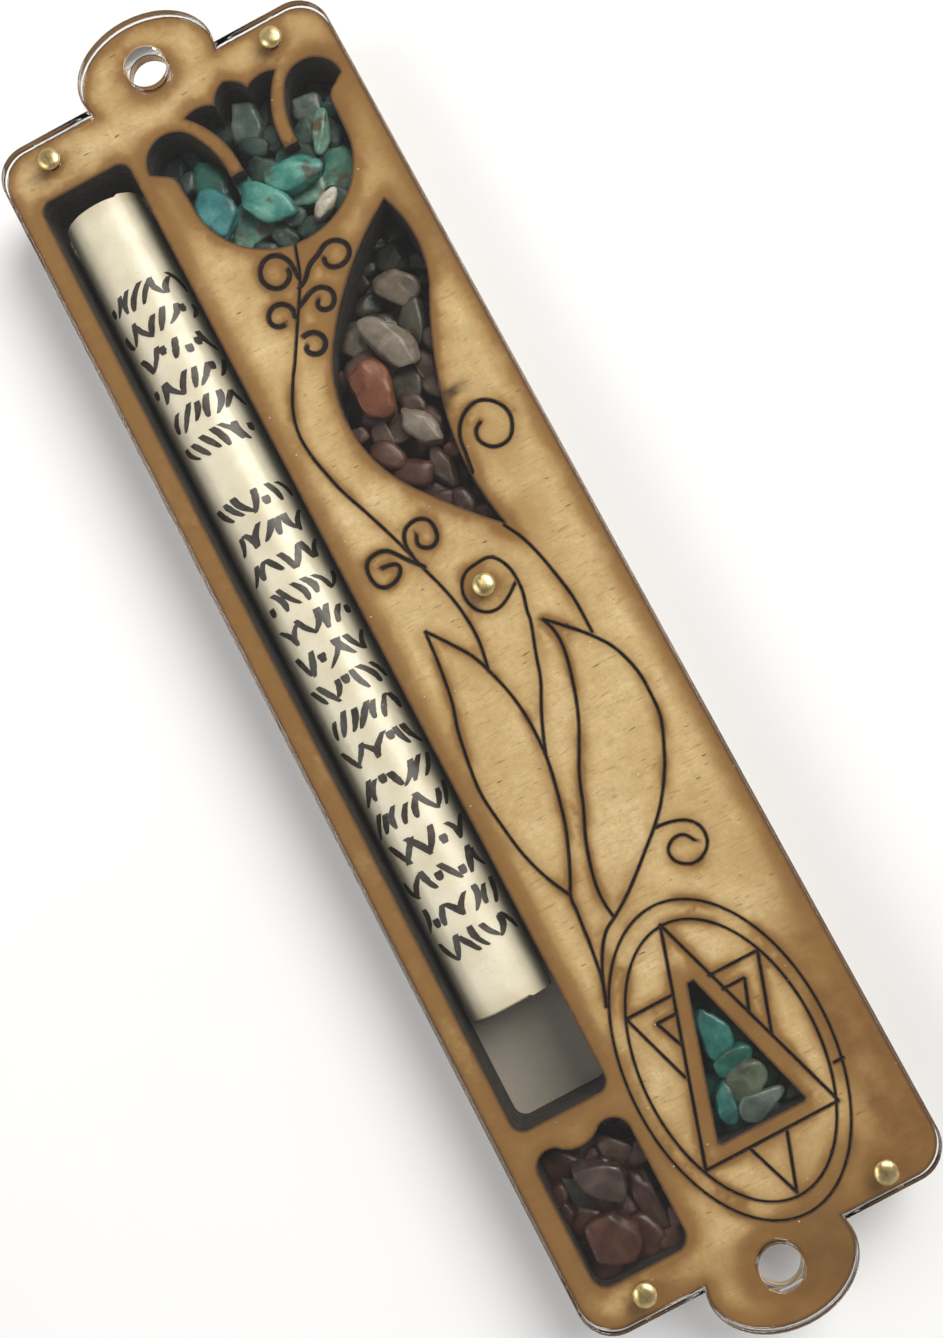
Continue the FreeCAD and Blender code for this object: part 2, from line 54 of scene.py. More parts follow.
# Engraved lines on the wooden front, each a run of points that one smooth line passes.
CURVES = {
    "stem": [(3.95, 34.3), (3.65, 33.4), (3.35, 32.4), (2.95, 31.4), (2.35, 30.35), (1.75, 29.35),
        (1.15, 28.35), (0.55, 27.35), (-0.05, 26.35), (-0.65, 25.35), (-1.35, 24.3), (-2.45, 22.2),
        (-2.95, 20.3), (-2.9, 18.25), (-2.55, 16.45), (-2.05, 14.45), (-1.15, 12), (-0.25, 9.4),
        (0.35, 7.45), (0.95, 5.35), (1.4, 3.85), (1.8, 2.05), (2, 0.1), (1.95, -1.7), (1.55, -3.9)],
    "curl_a": [(2.95, 31.5), (2.9, 32.4), (2.85, 33.2), (2.5, 33.85), (1.9, 34.25), (1.15, 34.25),
        (0.45, 33.7), (0.2, 33), (0.3, 32.3), (0.75, 31.75), (1.35, 31.5), (2, 31.7), (2.4, 32.1),
        (2.45, 32.6)],
    "curl_b": [(2.6, 30.8), (3.4, 31.25), (3.95, 31.9), (4.6, 32.3), (5.2, 32.5), (5.7, 32.85),
        (6.4, 33.05), (7.1, 32.8), (7.6, 32.2), (7.55, 31.5), (7.1, 31), (6.4, 30.8), (5.7, 31),
        (5.35, 31.5), (5.45, 32)],
    "curl_c": [(1.2, 28.85), (1.3, 29.55), (0.95, 30.15), (0.35, 30.45), (-0.25, 30.35), (-0.7, 29.95),
        (-0.85, 29.4), (-0.65, 28.95), (-0.25, 28.65), (0.15, 28.65)],
    "curl_d": [(1.9, 29.45), (2.5, 29.7), (3.1, 30), (3.9, 30.1), (4.55, 29.7), (4.8, 29.05), (4.5, 28.35),
        (3.9, 28.05), (3.35, 28.3), (3.15, 28.8), (3.45, 29.15)],
    "curl_e": [(1, 27.05), (1.6, 27.1), (2.2, 26.75), (2.45, 26.15), (2.3, 25.55), (1.8, 25.2),
        (1.25, 25.25), (0.8, 25.65), (0.7, 26.1), (0.95, 26.2)],
    "spiral_f": [(7.8, 10.7), (8.05, 12.45), (8.25, 13.75), (9.1, 15), (10.55, 15.65), (11.8, 15.15),
        (12.55, 13.95), (12.45, 12.8), (11.65, 11.7), (10.35, 11.65), (9.55, 12.45), (9.45, 13.2),
        (9.75, 13.75), (10.25, 14)],
    "spiral_g": [(0.95, 5.85), (-0.05, 7.05), (-0.7, 8), (-1.25, 8.5), (-2.15, 8.6), (-2.95, 8.3),
        (-3.25, 7.45), (-3.15, 6.45), (-2.6, 5.85), (-1.7, 5.85), (-0.95, 6.35), (-0.75, 6.95),
        (-1.25, 7.25), (-2.1, 7.35)],
    "spiral_h": [(0.5, 7.05), (0.4, 8), (0.75, 9), (1.3, 9.4), (2.2, 9.5), (2.9, 9.1), (3.1, 8.3),
        (2.9, 7.35), (2.2, 6.95), (1.55, 7.25), (1.25, 7.75), (1.55, 8.35)],
    "pin_ring": [(6.6, 1.3), (5.55, 0.55), (4.55, 0.15), (3.65, 0.3), (2.9, 1), (2.6, 2.15), (2.9, 3.25),
        (3.65, 3.95), (4.55, 4.1), (5.7, 4.15), (6.35, 3.6), (6.8, 2.55), (6.9, 1.3), (6.8, 0.3),
        (6.4, -1.1), (6.3, -1.9), (5.5, -4.2), (4.8, -6.35), (3.75, -8.45), (2.85, -10.5), (2.4, -11.75)],
    "left_leaf_out": [(-1.4, 1.3), (-1.65, -1.5), (-2.1, -4.55), (-2.75, -6.85), (-3.25, -9.8),
        (-3.45, -12.1), (-3.15, -15), (-2.75, -17.55), (-2.05, -19.85), (-1.05, -22)],
    "left_leaf_in": [(-1.4, 1.3), (-0.05, -0.6), (1.05, -2.35), (1.8, -4.55), (2.3, -6.7), (2.5, -9.05),
        (2.4, -11.6), (2.05, -13.7), (1.3, -16.8), (0.5, -18.95), (-0.4, -20.95), (-1.05, -22.2),
        (-1.1, -23.1), (-1.3, -24.9), (-1.4, -25.9), (-1.75, -28.25), (-2.1, -29.65), (-2.55, -30.75)],
    "right_leaf_in": [(7.15, -2.2), (7.55, -3.4), (7.55, -5.05), (7, -7.45), (6.1, -10.1), (5, -12.3),
        (3.9, -14.4), (3.05, -16.65), (2.1, -18.75), (1.4, -20.95), (1.05, -22.7), (1.05, -24.15),
        (1.2, -25.1)],
    "right_leaf_out": [(7.15, -2.2), (8.45, -3.5), (9.85, -5.05), (11.05, -6.85), (11.75, -9.25),
        (11.8, -11.3), (11.65, -13.1), (10.95, -14.95), (9.95, -16.95), (8.45, -19.1), (7.05, -20.55),
        (5.7, -21.7), (4.3, -22.9), (2.7, -24.15), (1.2, -25.1), (0.15, -25.7), (-0.75, -26.8),
        (-1.45, -28.05), (-1.95, -29.15), (-2.55, -30.75)],
    "leaf_tail": [(8, 5.85), (8.8, 4.25), (9.35, 2.45), (9.8, 0.15), (10.1, -2.1), (10.1, -4.95)],
    "spiral_j": [(7.05, -20.55), (8.25, -20.65), (9.6, -21.15), (10.35, -22.2), (10.05, -23.6),
        (8.65, -24.3), (7.4, -23.6), (7.2, -22.55), (8, -21.9), (8.9, -22), (9.35, -22.7)],
}

# How much wider each side is of a curve that was cut with a slower stroke, and of the rings.
WIDER = {"curl_a": 0.08, "curl_b": 0.08, "curl_c": 0.08, "curl_d": 0.08, "curl_e": 0.09,
         "spiral_f": 0.03, "spiral_g": 0.04, "spiral_h": 0.04}
RING_WIDER = -0.02

# Straight engraved lines of the star: the tall triangle, then what shows of the other one.
STRAIGHTS = [
    [(4, -27.2), (-1.65, -44.8), (9.6, -44.75), (4, -27.2)],
    [(2.3, -32.25), (-1.65, -32.25), (0.25, -38.1)],
    [(5.45, -32.25), (9.6, -32.25), (7.55, -38.2)],
    [(2.1, -45), (3.6, -49.2), (5.1, -45)],
    [(1.95, -33.6), (0.25, -33.6), (1.15, -35.9)],
    [(5.9, -33.6), (7.75, -33.6), (6.8, -36.1)],
    [(10.65, -42.15), (11.45, -42.15)],
]

# The two rings round the star: centre, half width, half length, lean to the right at the top.
RINGS = [((3.85, -38.3), 7.9, 12.6, 0.02), ((3.9, -38.4), 6.85, 11.1, 0.02)]

# Smoke, twice by the filled leaf and faintly on the low tab: centre, half sizes across and along the
# case, turn in degrees, strength.
SCORCHES = [
    ((8.95, 17.25), 1.7, 0.5, 4, 1.0),
    ((8.1, 16.95), 0.9, 0.9, 0, 1.0),
    ((4.4, -54.0), 3.4, 3.6, 0, 0.3),
]

# Wood browned by the laser's heat and smoke, in the same form.
BROWNED = [
    ((3.4, -54.2), 4.8, 4.4, 0, 1.0),
    ((-3.4, -55.6), 3.8, 2.6, 0, 0.6),
    ((0.0, -53.2), 3.4, 3.4, 0, 0.8),
    ((1.0, -57.2), 5.0, 1.2, 0, 1.0),
    ((0.0, 51.6), 5.0, 1.2, 0, 0.45),
    ((9.5, -50.5), 6.5, 4.0, 0, 0.75),
    ((13.2, -42.0), 2.6, 14.0, 0, 0.95),
    ((-4.0, -51.5), 10.0, 1.6, 0, 0.55),
    ((-14.0, -42.0), 1.2, 10.0, 0, 0.6),
    ((-9.0, -37.2), 5.0, 1.2, 0, 0.7),
    ((-4.2, -40.0), 1.2, 9.0, 0, 0.5),
    ((3.9, -40.0), 4.2, 6.6, 0, 0.75),
    ((14.2, -8.0), 1.0, 34.0, 0, 0.45),
    ((13.6, 34.0), 1.5, 8.0, 0, 0.6),
    ((12.6, 45.5), 2.2, 4.4, 0, 0.8),
    ((5.0, 33.6), 6.0, 1.6, 0, 0.55),
    ((5.0, 45.0), 3.6, 3.6, 0, 0.9),
    ((-3.7, 43.0), 1.3, 6.0, 0, 0.65),
    ((-4.2, 8.0), 0.9, 34.0, 0, 0.5),
    ((-4.3, -24.0), 0.9, 12.0, 0, 0.5),
    ((3.0, 29.8), 4.2, 3.6, 0, 0.5),
    ((-14.2, 12.0), 0.7, 34.0, 0, 0.45),
    ((9.2, 5.5), 2.2, 2.2, 0, 0.45),
    ((0.8, 6.8), 3.2, 1.6, 0, 0.35),
    ((10.6, 12.0), 1.8, 2.4, 0, 0.35),
    ((2.0, -23.5), 3.0, 2.0, 0, 0.35),
]


# ---- lines and outlines


def spaced(line, step):
    """The same line with a point every `step` or a little less."""
    length = np.concatenate([[0], np.cumsum(np.linalg.norm(np.diff(line, axis=0), axis=1))])
    at = np.linspace(0, length[-1], max(2, math.ceil(length[-1] / step) + 1))
    return np.column_stack([np.interp(at, length, line[:, i]) for i in range(line.shape[1])])


def smooth_run(points, step):
    """A smooth line through given points, with small kinks evened out."""
    p = np.array(points, float)
    p = np.vstack([2 * p[0] - p[1], p, 2 * p[-1] - p[-2]])
    t = np.linspace(0, 1, 24, endpoint=False)[:, None]
    parts = [
        b + 0.5 * ((c - a) * t + (2 * a - 5 * b + 4 * c - d) * t**2 + (3 * b - a - 3 * c + d) * t**3)
        for a, b, c, d in zip(p, p[1:], p[2:], p[3:])
    ]
    line = spaced(np.vstack([*parts, p[-2:-1]]), 0.05)
    # every point becomes the weighted mean of its neighbours, n to each side
    n = 12
    around = np.vstack([2 * line[0] - line[n:0:-1], line, 2 * line[-1] - line[-2 : -n - 2 : -1]])
    weight = np.hanning(2 * n + 3)[1:-1]
    weight /= weight.sum()
    line = np.column_stack([np.convolve(around[:, i], weight, "valid") for i in (0, 1)])
    return spaced(line, step)


def ring_run(centre, half_width, half_length, lean, step):
    """One closed oval, sheared by `lean`."""
    t = np.linspace(0, 2 * math.pi, 240)
    x, y = half_width * np.sin(t), half_length * np.cos(t)
    line = np.column_stack([centre[0] + x + lean * y, centre[1] + y])
    return spaced(line, step)


def engraved_lines(step):
    """Every engraved line as (points, how much wider each side is)."""
    runs = [(smooth_run(points, step), WIDER.get(name, 0.0)) for name, points in CURVES.items()]
    for points in STRAIGHTS:
        runs += [(spaced(np.array(pair, float), step), 0.0) for pair in zip(points, points[1:])]
    return runs + [(ring_run(*ring, step), RING_WIDER) for ring in RINGS]


def rim_loops(node, z):
    """Closed outlines of a CAD node's flat upper face at height z (metres), largest first, in millimetres."""
    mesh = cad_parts[node].data
    steps = set()
    for face in mesh.polygons:
        corners = [mesh.vertices[i].co for i in face.vertices]
        if face.normal.z > 0.5 and all(abs(c.z - z) < 1e-6 for c in corners):
            ring = [(round(c.x / MM, 4), round(c.y / MM, 4)) for c in corners]
            steps.update(zip(ring, ring[1:] + ring[:1]))
    after = {a: b for a, b in steps if (b, a) not in steps}
    loops = []
    while after:
        start, here = after.popitem()
        loop = [start]
        while here != start:
            loop.append(here)
            here = after.pop(here)
        loops.append(np.array(loop))
    return sorted(loops, key=lambda loop: -np.ptp(loop[:, 1]))


def divided(loop, step):
    """The closed loop with its long edges divided and every corner kept."""
    out = []
    for a, b in zip(loop, np.roll(loop, -1, axis=0)):
        n = max(1, math.ceil(np.linalg.norm(b - a) / step))
        out += [a + (b - a) * i / n for i in range(n)]
    return np.array(out)


def closed_edges(loops):
    """The edges of closed loops whose points are laid end to end."""
    edges, first = [], 0
    for loop in loops:
        ring = list(range(first, first + len(loop)))
        edges += zip(ring, ring[1:] + ring[:1])
        first += len(loop)
    return edges


def inside(points, loops):
    """Even-odd test of points against closed loops."""
    odd = np.zeros(len(points), bool)
    x, y = points[:, 0], points[:, 1]
    for loop in loops:
        for (x0, y0), (x1, y1) in zip(loop, np.roll(loop, -1, axis=0)):
            if y0 != y1:
                odd ^= ((y0 > y) != (y1 > y)) & (x < (x1 - x0) * (y - y0) / (y1 - y0) + x0)
    return odd


def sideways(line, closed=False):
    """Unit normals to the left of a line."""
    if closed:
        along = np.roll(line, -1, axis=0) - np.roll(line, 1, axis=0)
    else:
        along = np.gradient(line, axis=0)
    along /= np.linalg.norm(along, axis=1)[:, None] + 1e-9
    return np.column_stack([-along[:, 1], along[:, 0]])


def tree_of(points):
    """A search tree of flat points."""
    tree = kdtree.KDTree(len(points))
    for i, p in enumerate(points):
        tree.insert((p[0], p[1], 0), i)
    tree.balance()
    return tree


def distances(tree, points):
    """How far each point is from the nearest one in the tree."""
    return np.array([tree.find((x, y, 0))[2] for x, y in points])


def quads(first, rows, across, closed=False, flip=False, stride=0):
    """Faces between rows of points that are laid end to end, or `stride` apart."""
    stride, faces = stride or across, []
    for row in range(rows - 1):
        o, p = first + row * stride, first + (row + 1) * stride
        for i in range(across if closed else across - 1):
            j = (i + 1) % across
            faces.append((o + i, p + i, p + j, o + j) if flip else (o + i, o + j, p + j, p + i))
    return faces


# ---- pieces and nodes


def shown(name, data):
    """A new object in the scene."""
    item = bpy.data.objects.new(name, data)
    bpy.context.scene.collection.objects.link(item)
    return item


def new_piece(name, verts, faces, body, material, smooth=180, replaces=()):
    """A mesh object from points in millimetres, riding on a body, smooth up to an angle in degrees."""
    mesh = bpy.data.meshes.new(name)
    mesh.from_pydata([tuple(c * MM for c in v) for v in verts], [], faces)
    mesh.validate()
    piece = shown(name, mesh)
    for m in (material,) if isinstance(material, bpy.types.Material) else material:
        mesh.materials.append(m)
    mesh.shade_smooth()
    if smooth < 180:
        mesh.set_sharp_from_angle(angle=math.radians(smooth))
    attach(piece, body)
    if replaces:
        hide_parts(*replaces)
    return piece


def float_attribute(mesh, name, values):
    """One number for each vertex, for a material to read."""
    mesh.attributes.new(name, "FLOAT", "POINT").data.foreach_set("value", np.asarray(values, np.float32))


def islands(node):
    """The vertices of each separate solid of a CAD node, in millimetres."""
    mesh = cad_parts[node].data
    bm = bmesh.new()
    bm.from_mesh(mesh)
    bmesh.ops.remove_doubles(bm, verts=bm.verts, dist=1e-7)
    left, found = set(bm.verts), []
    while left:
        todo, group = [left.pop()], []
        while todo:
            v = todo.pop()
            group.append(v)
            for e in v.link_edges:
                w = e.other_vert(v)
                if w in left:
                    left.remove(w)
                    todo.append(w)
        found.append(np.array([v.co for v in group]) / MM)
    bm.free()
    return sorted(found, key=lambda p: tuple(np.round(p.mean(0), 3)))


class Nodes:
    """A Principled material and short calls for the nodes behind it."""

    def __init__(self, name, **sockets):
        self.material = bpy.data.materials.new(name)
        self.material.use_nodes = True
        self.tree = self.material.node_tree
        self.surface = self.tree.nodes["Principled BSDF"]
        self.output = self.tree.nodes["Material Output"]
        for key, value in sockets.items():
            self.surface.inputs[key.replace("_", " ")].default_value = value
        coords = self.add("TexCoord").outputs["Object"]
        self.mm = self.add("VectorMath", {0: coords, "Scale": 1000.0}, operation="SCALE").outputs[0]

    def add(self, kind, inputs=None, **settings):
        """A new node with some of its inputs linked or set."""
        node = self.tree.nodes.new("ShaderNode" + kind)
        for key, value in settings.items():
            setattr(node, key, value)
        for key, value in (inputs or {}).items():
            if isinstance(value, bpy.types.NodeSocket):
                self.tree.links.new(value, node.inputs[key])
            else:
                node.inputs[key].default_value = value
        return node

    def set(self, socket, value):
        self.tree.links.new(value, self.surface.inputs[socket])

    def math(self, operation, a, b=0.0, c=0.0, clamp=False):
        return self.add("Math", {0: a, 1: b, 2: c}, operation=operation, use_clamp=clamp).outputs[0]

    def times(self, a, b, **options):
        return self.math("MULTIPLY", a, b, **options)

    def stretched(self, x, y, z, turn=0.0):
        """Coordinates in millimetres, scaled along each axis and turned about Z."""
        return self.add("Mapping", {0: self.mm, "Rotation": (0, 0, turn), "Scale": (x, y, z)}).outputs[0]

    def noise(self, scale, detail=3.0, roughness=0.55, at=None):
        inputs = {"Vector": at or self.mm, "Scale": scale, "Detail": detail, "Roughness": roughness}
        return self.add("TexNoise", inputs).outputs["Fac"]

    def cells(self, vector, scale, feature="F1"):
        return self.add("TexVoronoi", {"Vector": vector, "Scale": scale}, feature=feature).outputs["Distance"]

    def attribute(self, name):
        return self.add("Attribute", attribute_name=name).outputs["Fac"]

    def span(self, value, low, high, to_low=0.0, to_high=1.0):
        """value from low..high to to_low..to_high, eased and held at the ends."""
        node = self.add("MapRange", {"Value": value, "From Min": low, "From Max": high,
                                     "To Min": to_low, "To Max": to_high}, interpolation_type="SMOOTHSTEP")
        return node.outputs["Result"]

    def mix(self, factor, a, b):
        rgba = [(*c, 1.0) if isinstance(c, tuple) else c for c in (a, b)]
        return self.add("Mix", {0: factor, 6: rgba[0], 7: rgba[1]}, data_type="RGBA").outputs[2]

    def tinted(self, colour, *tints):
        """Tints laid over a colour, each as (pattern, its value for none, for most, share at most, tint)."""
        for pattern, none, most, share, tint in tints:
            colour = self.mix(self.span(pattern, none, most, 0.0, share), colour, tint)
        return colour

    def ramp(self, value, *stops):
        """A colour ramp with stops as (place, colour)."""
        node = self.add("ValToRGB", {0: value})
        elements = node.color_ramp.elements
        while len(elements) < len(stops):
            elements.new(0.5)
        for element, (place, colour) in zip(elements, stops):
            element.position, element.color = place, (*colour, 1.0)
        return node.outputs[0]

    def bump(self, height, strength, distance):
        inputs = {"Height": height, "Strength": strength, "Distance": distance * MM}
        return self.add("Bump", inputs).outputs[0]


# ---- materials


def birch():
    """Engraved birch: mottled wood with grain and pores, browned by heat and burnt along the lines."""
    n = Nodes("engraved_birch", Roughness=0.55, IOR=1.45, Specular_IOR_Level=0.15)
    blotch = n.noise(0.13, 5, 0.6)
    wood = n.ramp(blotch, (0.34, (0.53, 0.38, 0.17)), (0.5, (0.65, 0.485, 0.235)),
                  (0.66, (0.77, 0.605, 0.33)))
    mottle = n.noise(1.1, 5, 0.75)
    grain = n.noise(1.0, 5, 0.65, at=n.stretched(0.22, 2.6, 2.6, 0.05))
    fleck = n.noise(1.0, 2, 0.5, at=n.stretched(0.8, 6.0, 6.0, 0.05))
    pores = n.noise(1.0, 1.5, 0.4, at=n.stretched(0.75, 3.6, 3.6, 0.35))
    speckle = n.noise(6.5, 3, 0.7)
    wood = n.tinted(
        wood, (mottle, 0.4, 0.68, 0.42, (0.44, 0.31, 0.135)), (mottle, 0.42, 0.3, 0.3, (0.84, 0.71, 0.45)),
        (grain, 0.32, 0.72, 0.38, (0.52, 0.35, 0.16)), (fleck, 0.6, 0.74, 0.5, (0.25, 0.15, 0.07)),
        (pores, 0.705, 0.76, 0.85, (0.10, 0.06, 0.03)), (speckle, 0.44, 0.72, 0.34, (0.40, 0.27, 0.115)))
    # browning: near engraved lines, near openings, along the rim, and in wider patches
    drift = n.noise(0.34, 4, 0.6)
    fine = n.noise(1.3, 3)
    uneven = n.math("MULTIPLY_ADD", n.math("SUBTRACT", drift, 0.5), 3.2, n.times(fine, 0.6))
    line, cut, rim = (n.attribute(a) for a in ("line", "cut", "rim"))
    strength = n.span(n.noise(0.24, 2, at=n.stretched(1, 0.6, 1)), 0.38, 0.6, 0.45, 1.0)
    near_line = n.span(n.math("ADD", line, n.times(uneven, 0.28)), 0.1, 1.3, 1.0, 0.0)
    near_line = n.times(near_line, strength)
    near_cut = n.span(n.math("ADD", cut, n.times(uneven, 0.7)), 0.1, 2.6, 1.0, 0.0)
    near_rim = n.span(n.math("MULTIPLY_ADD", uneven, 0.6, rim), 0.0, 2.2, 1.0, 0.0)
    patch = n.times(n.attribute("browned"), n.span(drift, 0.2, 0.8, 0.82, 1.08), clamp=True)
    left = 1.0
    for part in (near_line, near_cut, near_rim, patch):
        left = n.times(left, n.math("SUBTRACT", 1.0, part))
    brown = n.math("SUBTRACT", 1.0, left)
    wood = n.mix(n.times(brown, 0.97), wood, (0.34, 0.182, 0.052))
    deep = n.times(n.span(brown, 0.5, 1.0), n.span(drift, 0.15, 0.85, 0.45, 1.0))
    wood = n.mix(n.times(deep, 0.9), wood, (0.165, 0.078, 0.022))
    smoke = n.times(n.attribute("scorch"), n.span(fine, 0.25, 0.7, 0.7, 1.0))
    wood = n.mix(smoke, wood, (0.06, 0.035, 0.018))
    singed = n.math("MAXIMUM", n.span(line, 0.1, 0.28, 0.6, 0.0), n.span(cut, 0.0, 0.3, 0.9, 0.0))
    singed = n.math("MAXIMUM", singed, n.span(rim, 0.0, 0.32, 0.8, 0.0))
    wood = n.mix(singed, wood, (0.06, 0.03, 0.014))
    beads = n.noise(3.2, 1)
    burnt = n.span(n.math("MULTIPLY_ADD", beads, 0.11, line), 0.135, 0.18, 1.0, 0.0)
    wood = n.mix(burnt, wood, (0.009, 0.007, 0.006))
    dust = n.cells(n.mm, 0.55)
    wood = n.mix(n.span(dust, 0.02, 0.045, 0.75, 0.0), wood, (0.82, 0.76, 0.64))
    n.set("Base Color", wood)
    n.set("Roughness", n.span(brown, 0.0, 1.0, 0.5, 0.68))
    height = n.math("ADD", n.times(grain, 0.5), n.times(fleck, -0.5))
    n.set("Normal", n.bump(height, 0.35, 0.12))
    return n.material


def toasted(n, soot, band):
    """Brown colour of an outer edge, which the laser cut faster and only toasted."""
    colour = n.ramp(soot, (0.35, (0.05, 0.03, 0.016)), (0.55, (0.10, 0.061, 0.033)),
                    (0.8, (0.17, 0.108, 0.06)))
    return n.mix(n.span(band, 0.35, 0.75, 0.0, 0.55), colour, (0.035, 0.02, 0.012))


def outer_wall(n):
    """1 on the outer edge of the core, 0 on the walls of its openings."""
    high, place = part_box("core_layer_front")[1] / MM, n.add("SeparateXYZ", {0: n.mm}).outputs
    past = [n.math("SUBTRACT", n.math("ABSOLUTE", place[i]), high[i] - CORNER) for i in (0, 1)]
    past = [n.math("MAXIMUM", p, 0.0) for p in past]
    reach = n.math("SQRT", n.math("ADD", *(n.times(p, p) for p in past)))
    return n.span(reach, CORNER - 0.25, CORNER - 0.1)


def charred(name, plies=False):
    """Laser-cut ply walls: soot black, with faint plies and pale specks of ash."""
    n = Nodes(name, Roughness=0.8, IOR=1.45)
    soot = n.noise(1.0, 5, 0.65, at=n.stretched(1.2, 1.2, 4.0))
    colour = n.ramp(soot, (0.3, (0.010, 0.009, 0.007)), (0.6, (0.024, 0.020, 0.016)),
                    (0.85, (0.052, 0.041, 0.029)))
    height = soot
    if plies:
        z = n.add("SeparateXYZ", {0: n.mm}).outputs[2]
        band = n.math("PINGPONG", n.math("ADD", z, n.times(n.noise(0.5), 0.1)), 0.93)
        colour = n.mix(n.span(band, 0.5, 0.93, 0.0, 0.4), colour, (0.045, 0.028, 0.016))
        colour = n.mix(outer_wall(n), colour, toasted(n, soot, band))
        facing = n.add("SeparateXYZ", {0: n.add("TexCoord").outputs["Normal"]}).outputs[2]
        flat = n.span(n.math("ABSOLUTE", facing), 0.6, 0.8)
        grain = n.noise(1.0, 4, at=n.stretched(2.4, 0.2, 1.0))
        face = n.ramp(grain, (0.3, (0.25, 0.145, 0.065)), (0.7, (0.46, 0.31, 0.16)))
        colour = n.mix(flat, colour, face)
        height = n.math("ADD", soot, n.times(band, 0.2))
    ash = n.cells(n.mm, 2.6)
    rare = n.span(n.noise(1.7, 1), 0.52, 0.6)
    colour = n.mix(n.times(n.span(ash, 0.04, 0.13, 0.8, 0.0), rare), colour, (0.42, 0.38, 0.33))
    n.set("Base Color", colour)
    n.set("Roughness", n.span(soot, 0.3, 0.8, 0.9, 0.6))
    n.set("Normal", n.bump(height, 0.6, 0.15))
    return n.material


def panel_edge():
    """The toasted outer edge of the thin front layer."""
    n = Nodes("toasted_edge", Roughness=0.75, IOR=1.45)
    soot = n.noise(1.0, 5, 0.65, at=n.stretched(1.2, 1.2, 4.0))
    band = n.math("PINGPONG", n.math("ADD", n.add("SeparateXYZ", {0: n.mm}).outputs[2], 0.3), 0.5)
    n.set("Base Color", toasted(n, soot, n.math("ADD", band, 0.2)))
    n.set("Normal", n.bump(soot, 0.6, 0.15))
    return n.material


def raw_wood():
    """Freshly drilled birch, paler than the browned face."""
    n = Nodes("drilled_birch", Roughness=0.7, IOR=1.45)
    plies = n.noise(1.0, 3, at=n.stretched(0.6, 0.6, 5.0))
    n.set("Base Color", n.ramp(plies, (0.35, (0.42, 0.30, 0.17)), (0.65, (0.72, 0.60, 0.42))))
    n.set("Normal", n.bump(plies, 0.4, 0.1))
    return n.material


def grey_plastic():
    """Grey sheet with fine grit, specks and crossing scratches."""
    n = Nodes("grey_plastic", Roughness=0.42, IOR=1.5)
    cloud = n.noise(0.12, 4)
    colour = n.ramp(cloud, (0.35, (0.38, 0.348, 0.295)), (0.7, (0.47, 0.433, 0.372)))
    grit = n.noise(9.0, 3)
    colour = n.tinted(colour, (grit, 0.35, 0.75, 0.35, (0.19, 0.17, 0.15)))
    speck = n.cells(n.mm, 0.9)
    colour = n.mix(n.span(speck, 0.03, 0.08, 0.7, 0.0), colour, (0.06, 0.05, 0.045))
    scratch = n.noise(1.0, 2, at=n.stretched(5.5, 0.12, 1.0, 0.12))
    cross = n.noise(1.0, 2, at=n.stretched(0.1, 6.5, 1.0, 0.5))
    lines = n.math("MAXIMUM", n.span(scratch, 0.66, 0.74), n.span(cross, 0.7, 0.77))
    colour = n.mix(n.times(lines, 0.3), colour, (0.40, 0.37, 0.33))
    n.set("Base Color", colour)
    n.set("Roughness", n.math("MULTIPLY_ADD", lines, 0.2, n.span(grit, 0.3, 0.7, 0.36, 0.5)))
    n.set("Normal", n.bump(n.math("SUBTRACT", grit, lines), 0.2, 0.04))
    return n.material


def parchment():
    """Smooth parchment: clouds, a fine skin, follicles in places, and browner ends."""
    n = Nodes("parchment", Roughness=0.34, IOR=1.5, Coat_Weight=0.25, Coat_Roughness=0.22)
    cloud = n.noise(0.3, 5, 0.6)
    colour = n.ramp(cloud, (0.3, (0.70, 0.65, 0.48)), (0.55, (0.83, 0.785, 0.62)), (0.8, (0.92, 0.885, 0.75)))
    skin = n.noise(5.5, 4, 0.7)
    colour = n.tinted(colour, (skin, 0.35, 0.7, 0.25, (0.60, 0.53, 0.38)))
    follicle = n.cells(n.mm, 1.9)
    rare = n.span(n.noise(0.6, 2), 0.5, 0.62)
    spots = n.times(n.span(follicle, 0.04, 0.12, 0.55, 0.0), rare)
    colour = n.mix(spots, colour, (0.30, 0.22, 0.12))
    edge = n.span(n.attribute("edge"), 0.0, 1.0)
    colour = n.mix(n.times(edge, 0.45), colour, (0.52, 0.42, 0.26))
    n.set("Base Color", colour)
    n.set("Roughness", n.span(skin, 0.3, 0.7, 0.28, 0.42))
    long_ripple = n.noise(1.0, 2, at=n.stretched(0.6, 0.05, 0.6))
    n.set("Normal", n.bump(n.math("MULTIPLY_ADD", skin, 0.2, long_ripple), 0.3, 0.12))
    return n.material


def ink():
    """Brush ink that is thinner in places."""
    n = Nodes("ink", Roughness=0.42, IOR=1.45)
    body = n.noise(2.6, 3)
    n.set("Base Color", n.ramp(body, (0.35, (0.016, 0.012, 0.009)), (0.62, (0.035, 0.027, 0.018)),
                               (0.8, (0.10, 0.075, 0.05))))
    n.set("Roughness", n.span(body, 0.3, 0.7, 0.3, 0.55))
    n.set("Normal", n.bump(body, 0.4, 0.03))
    return n.material


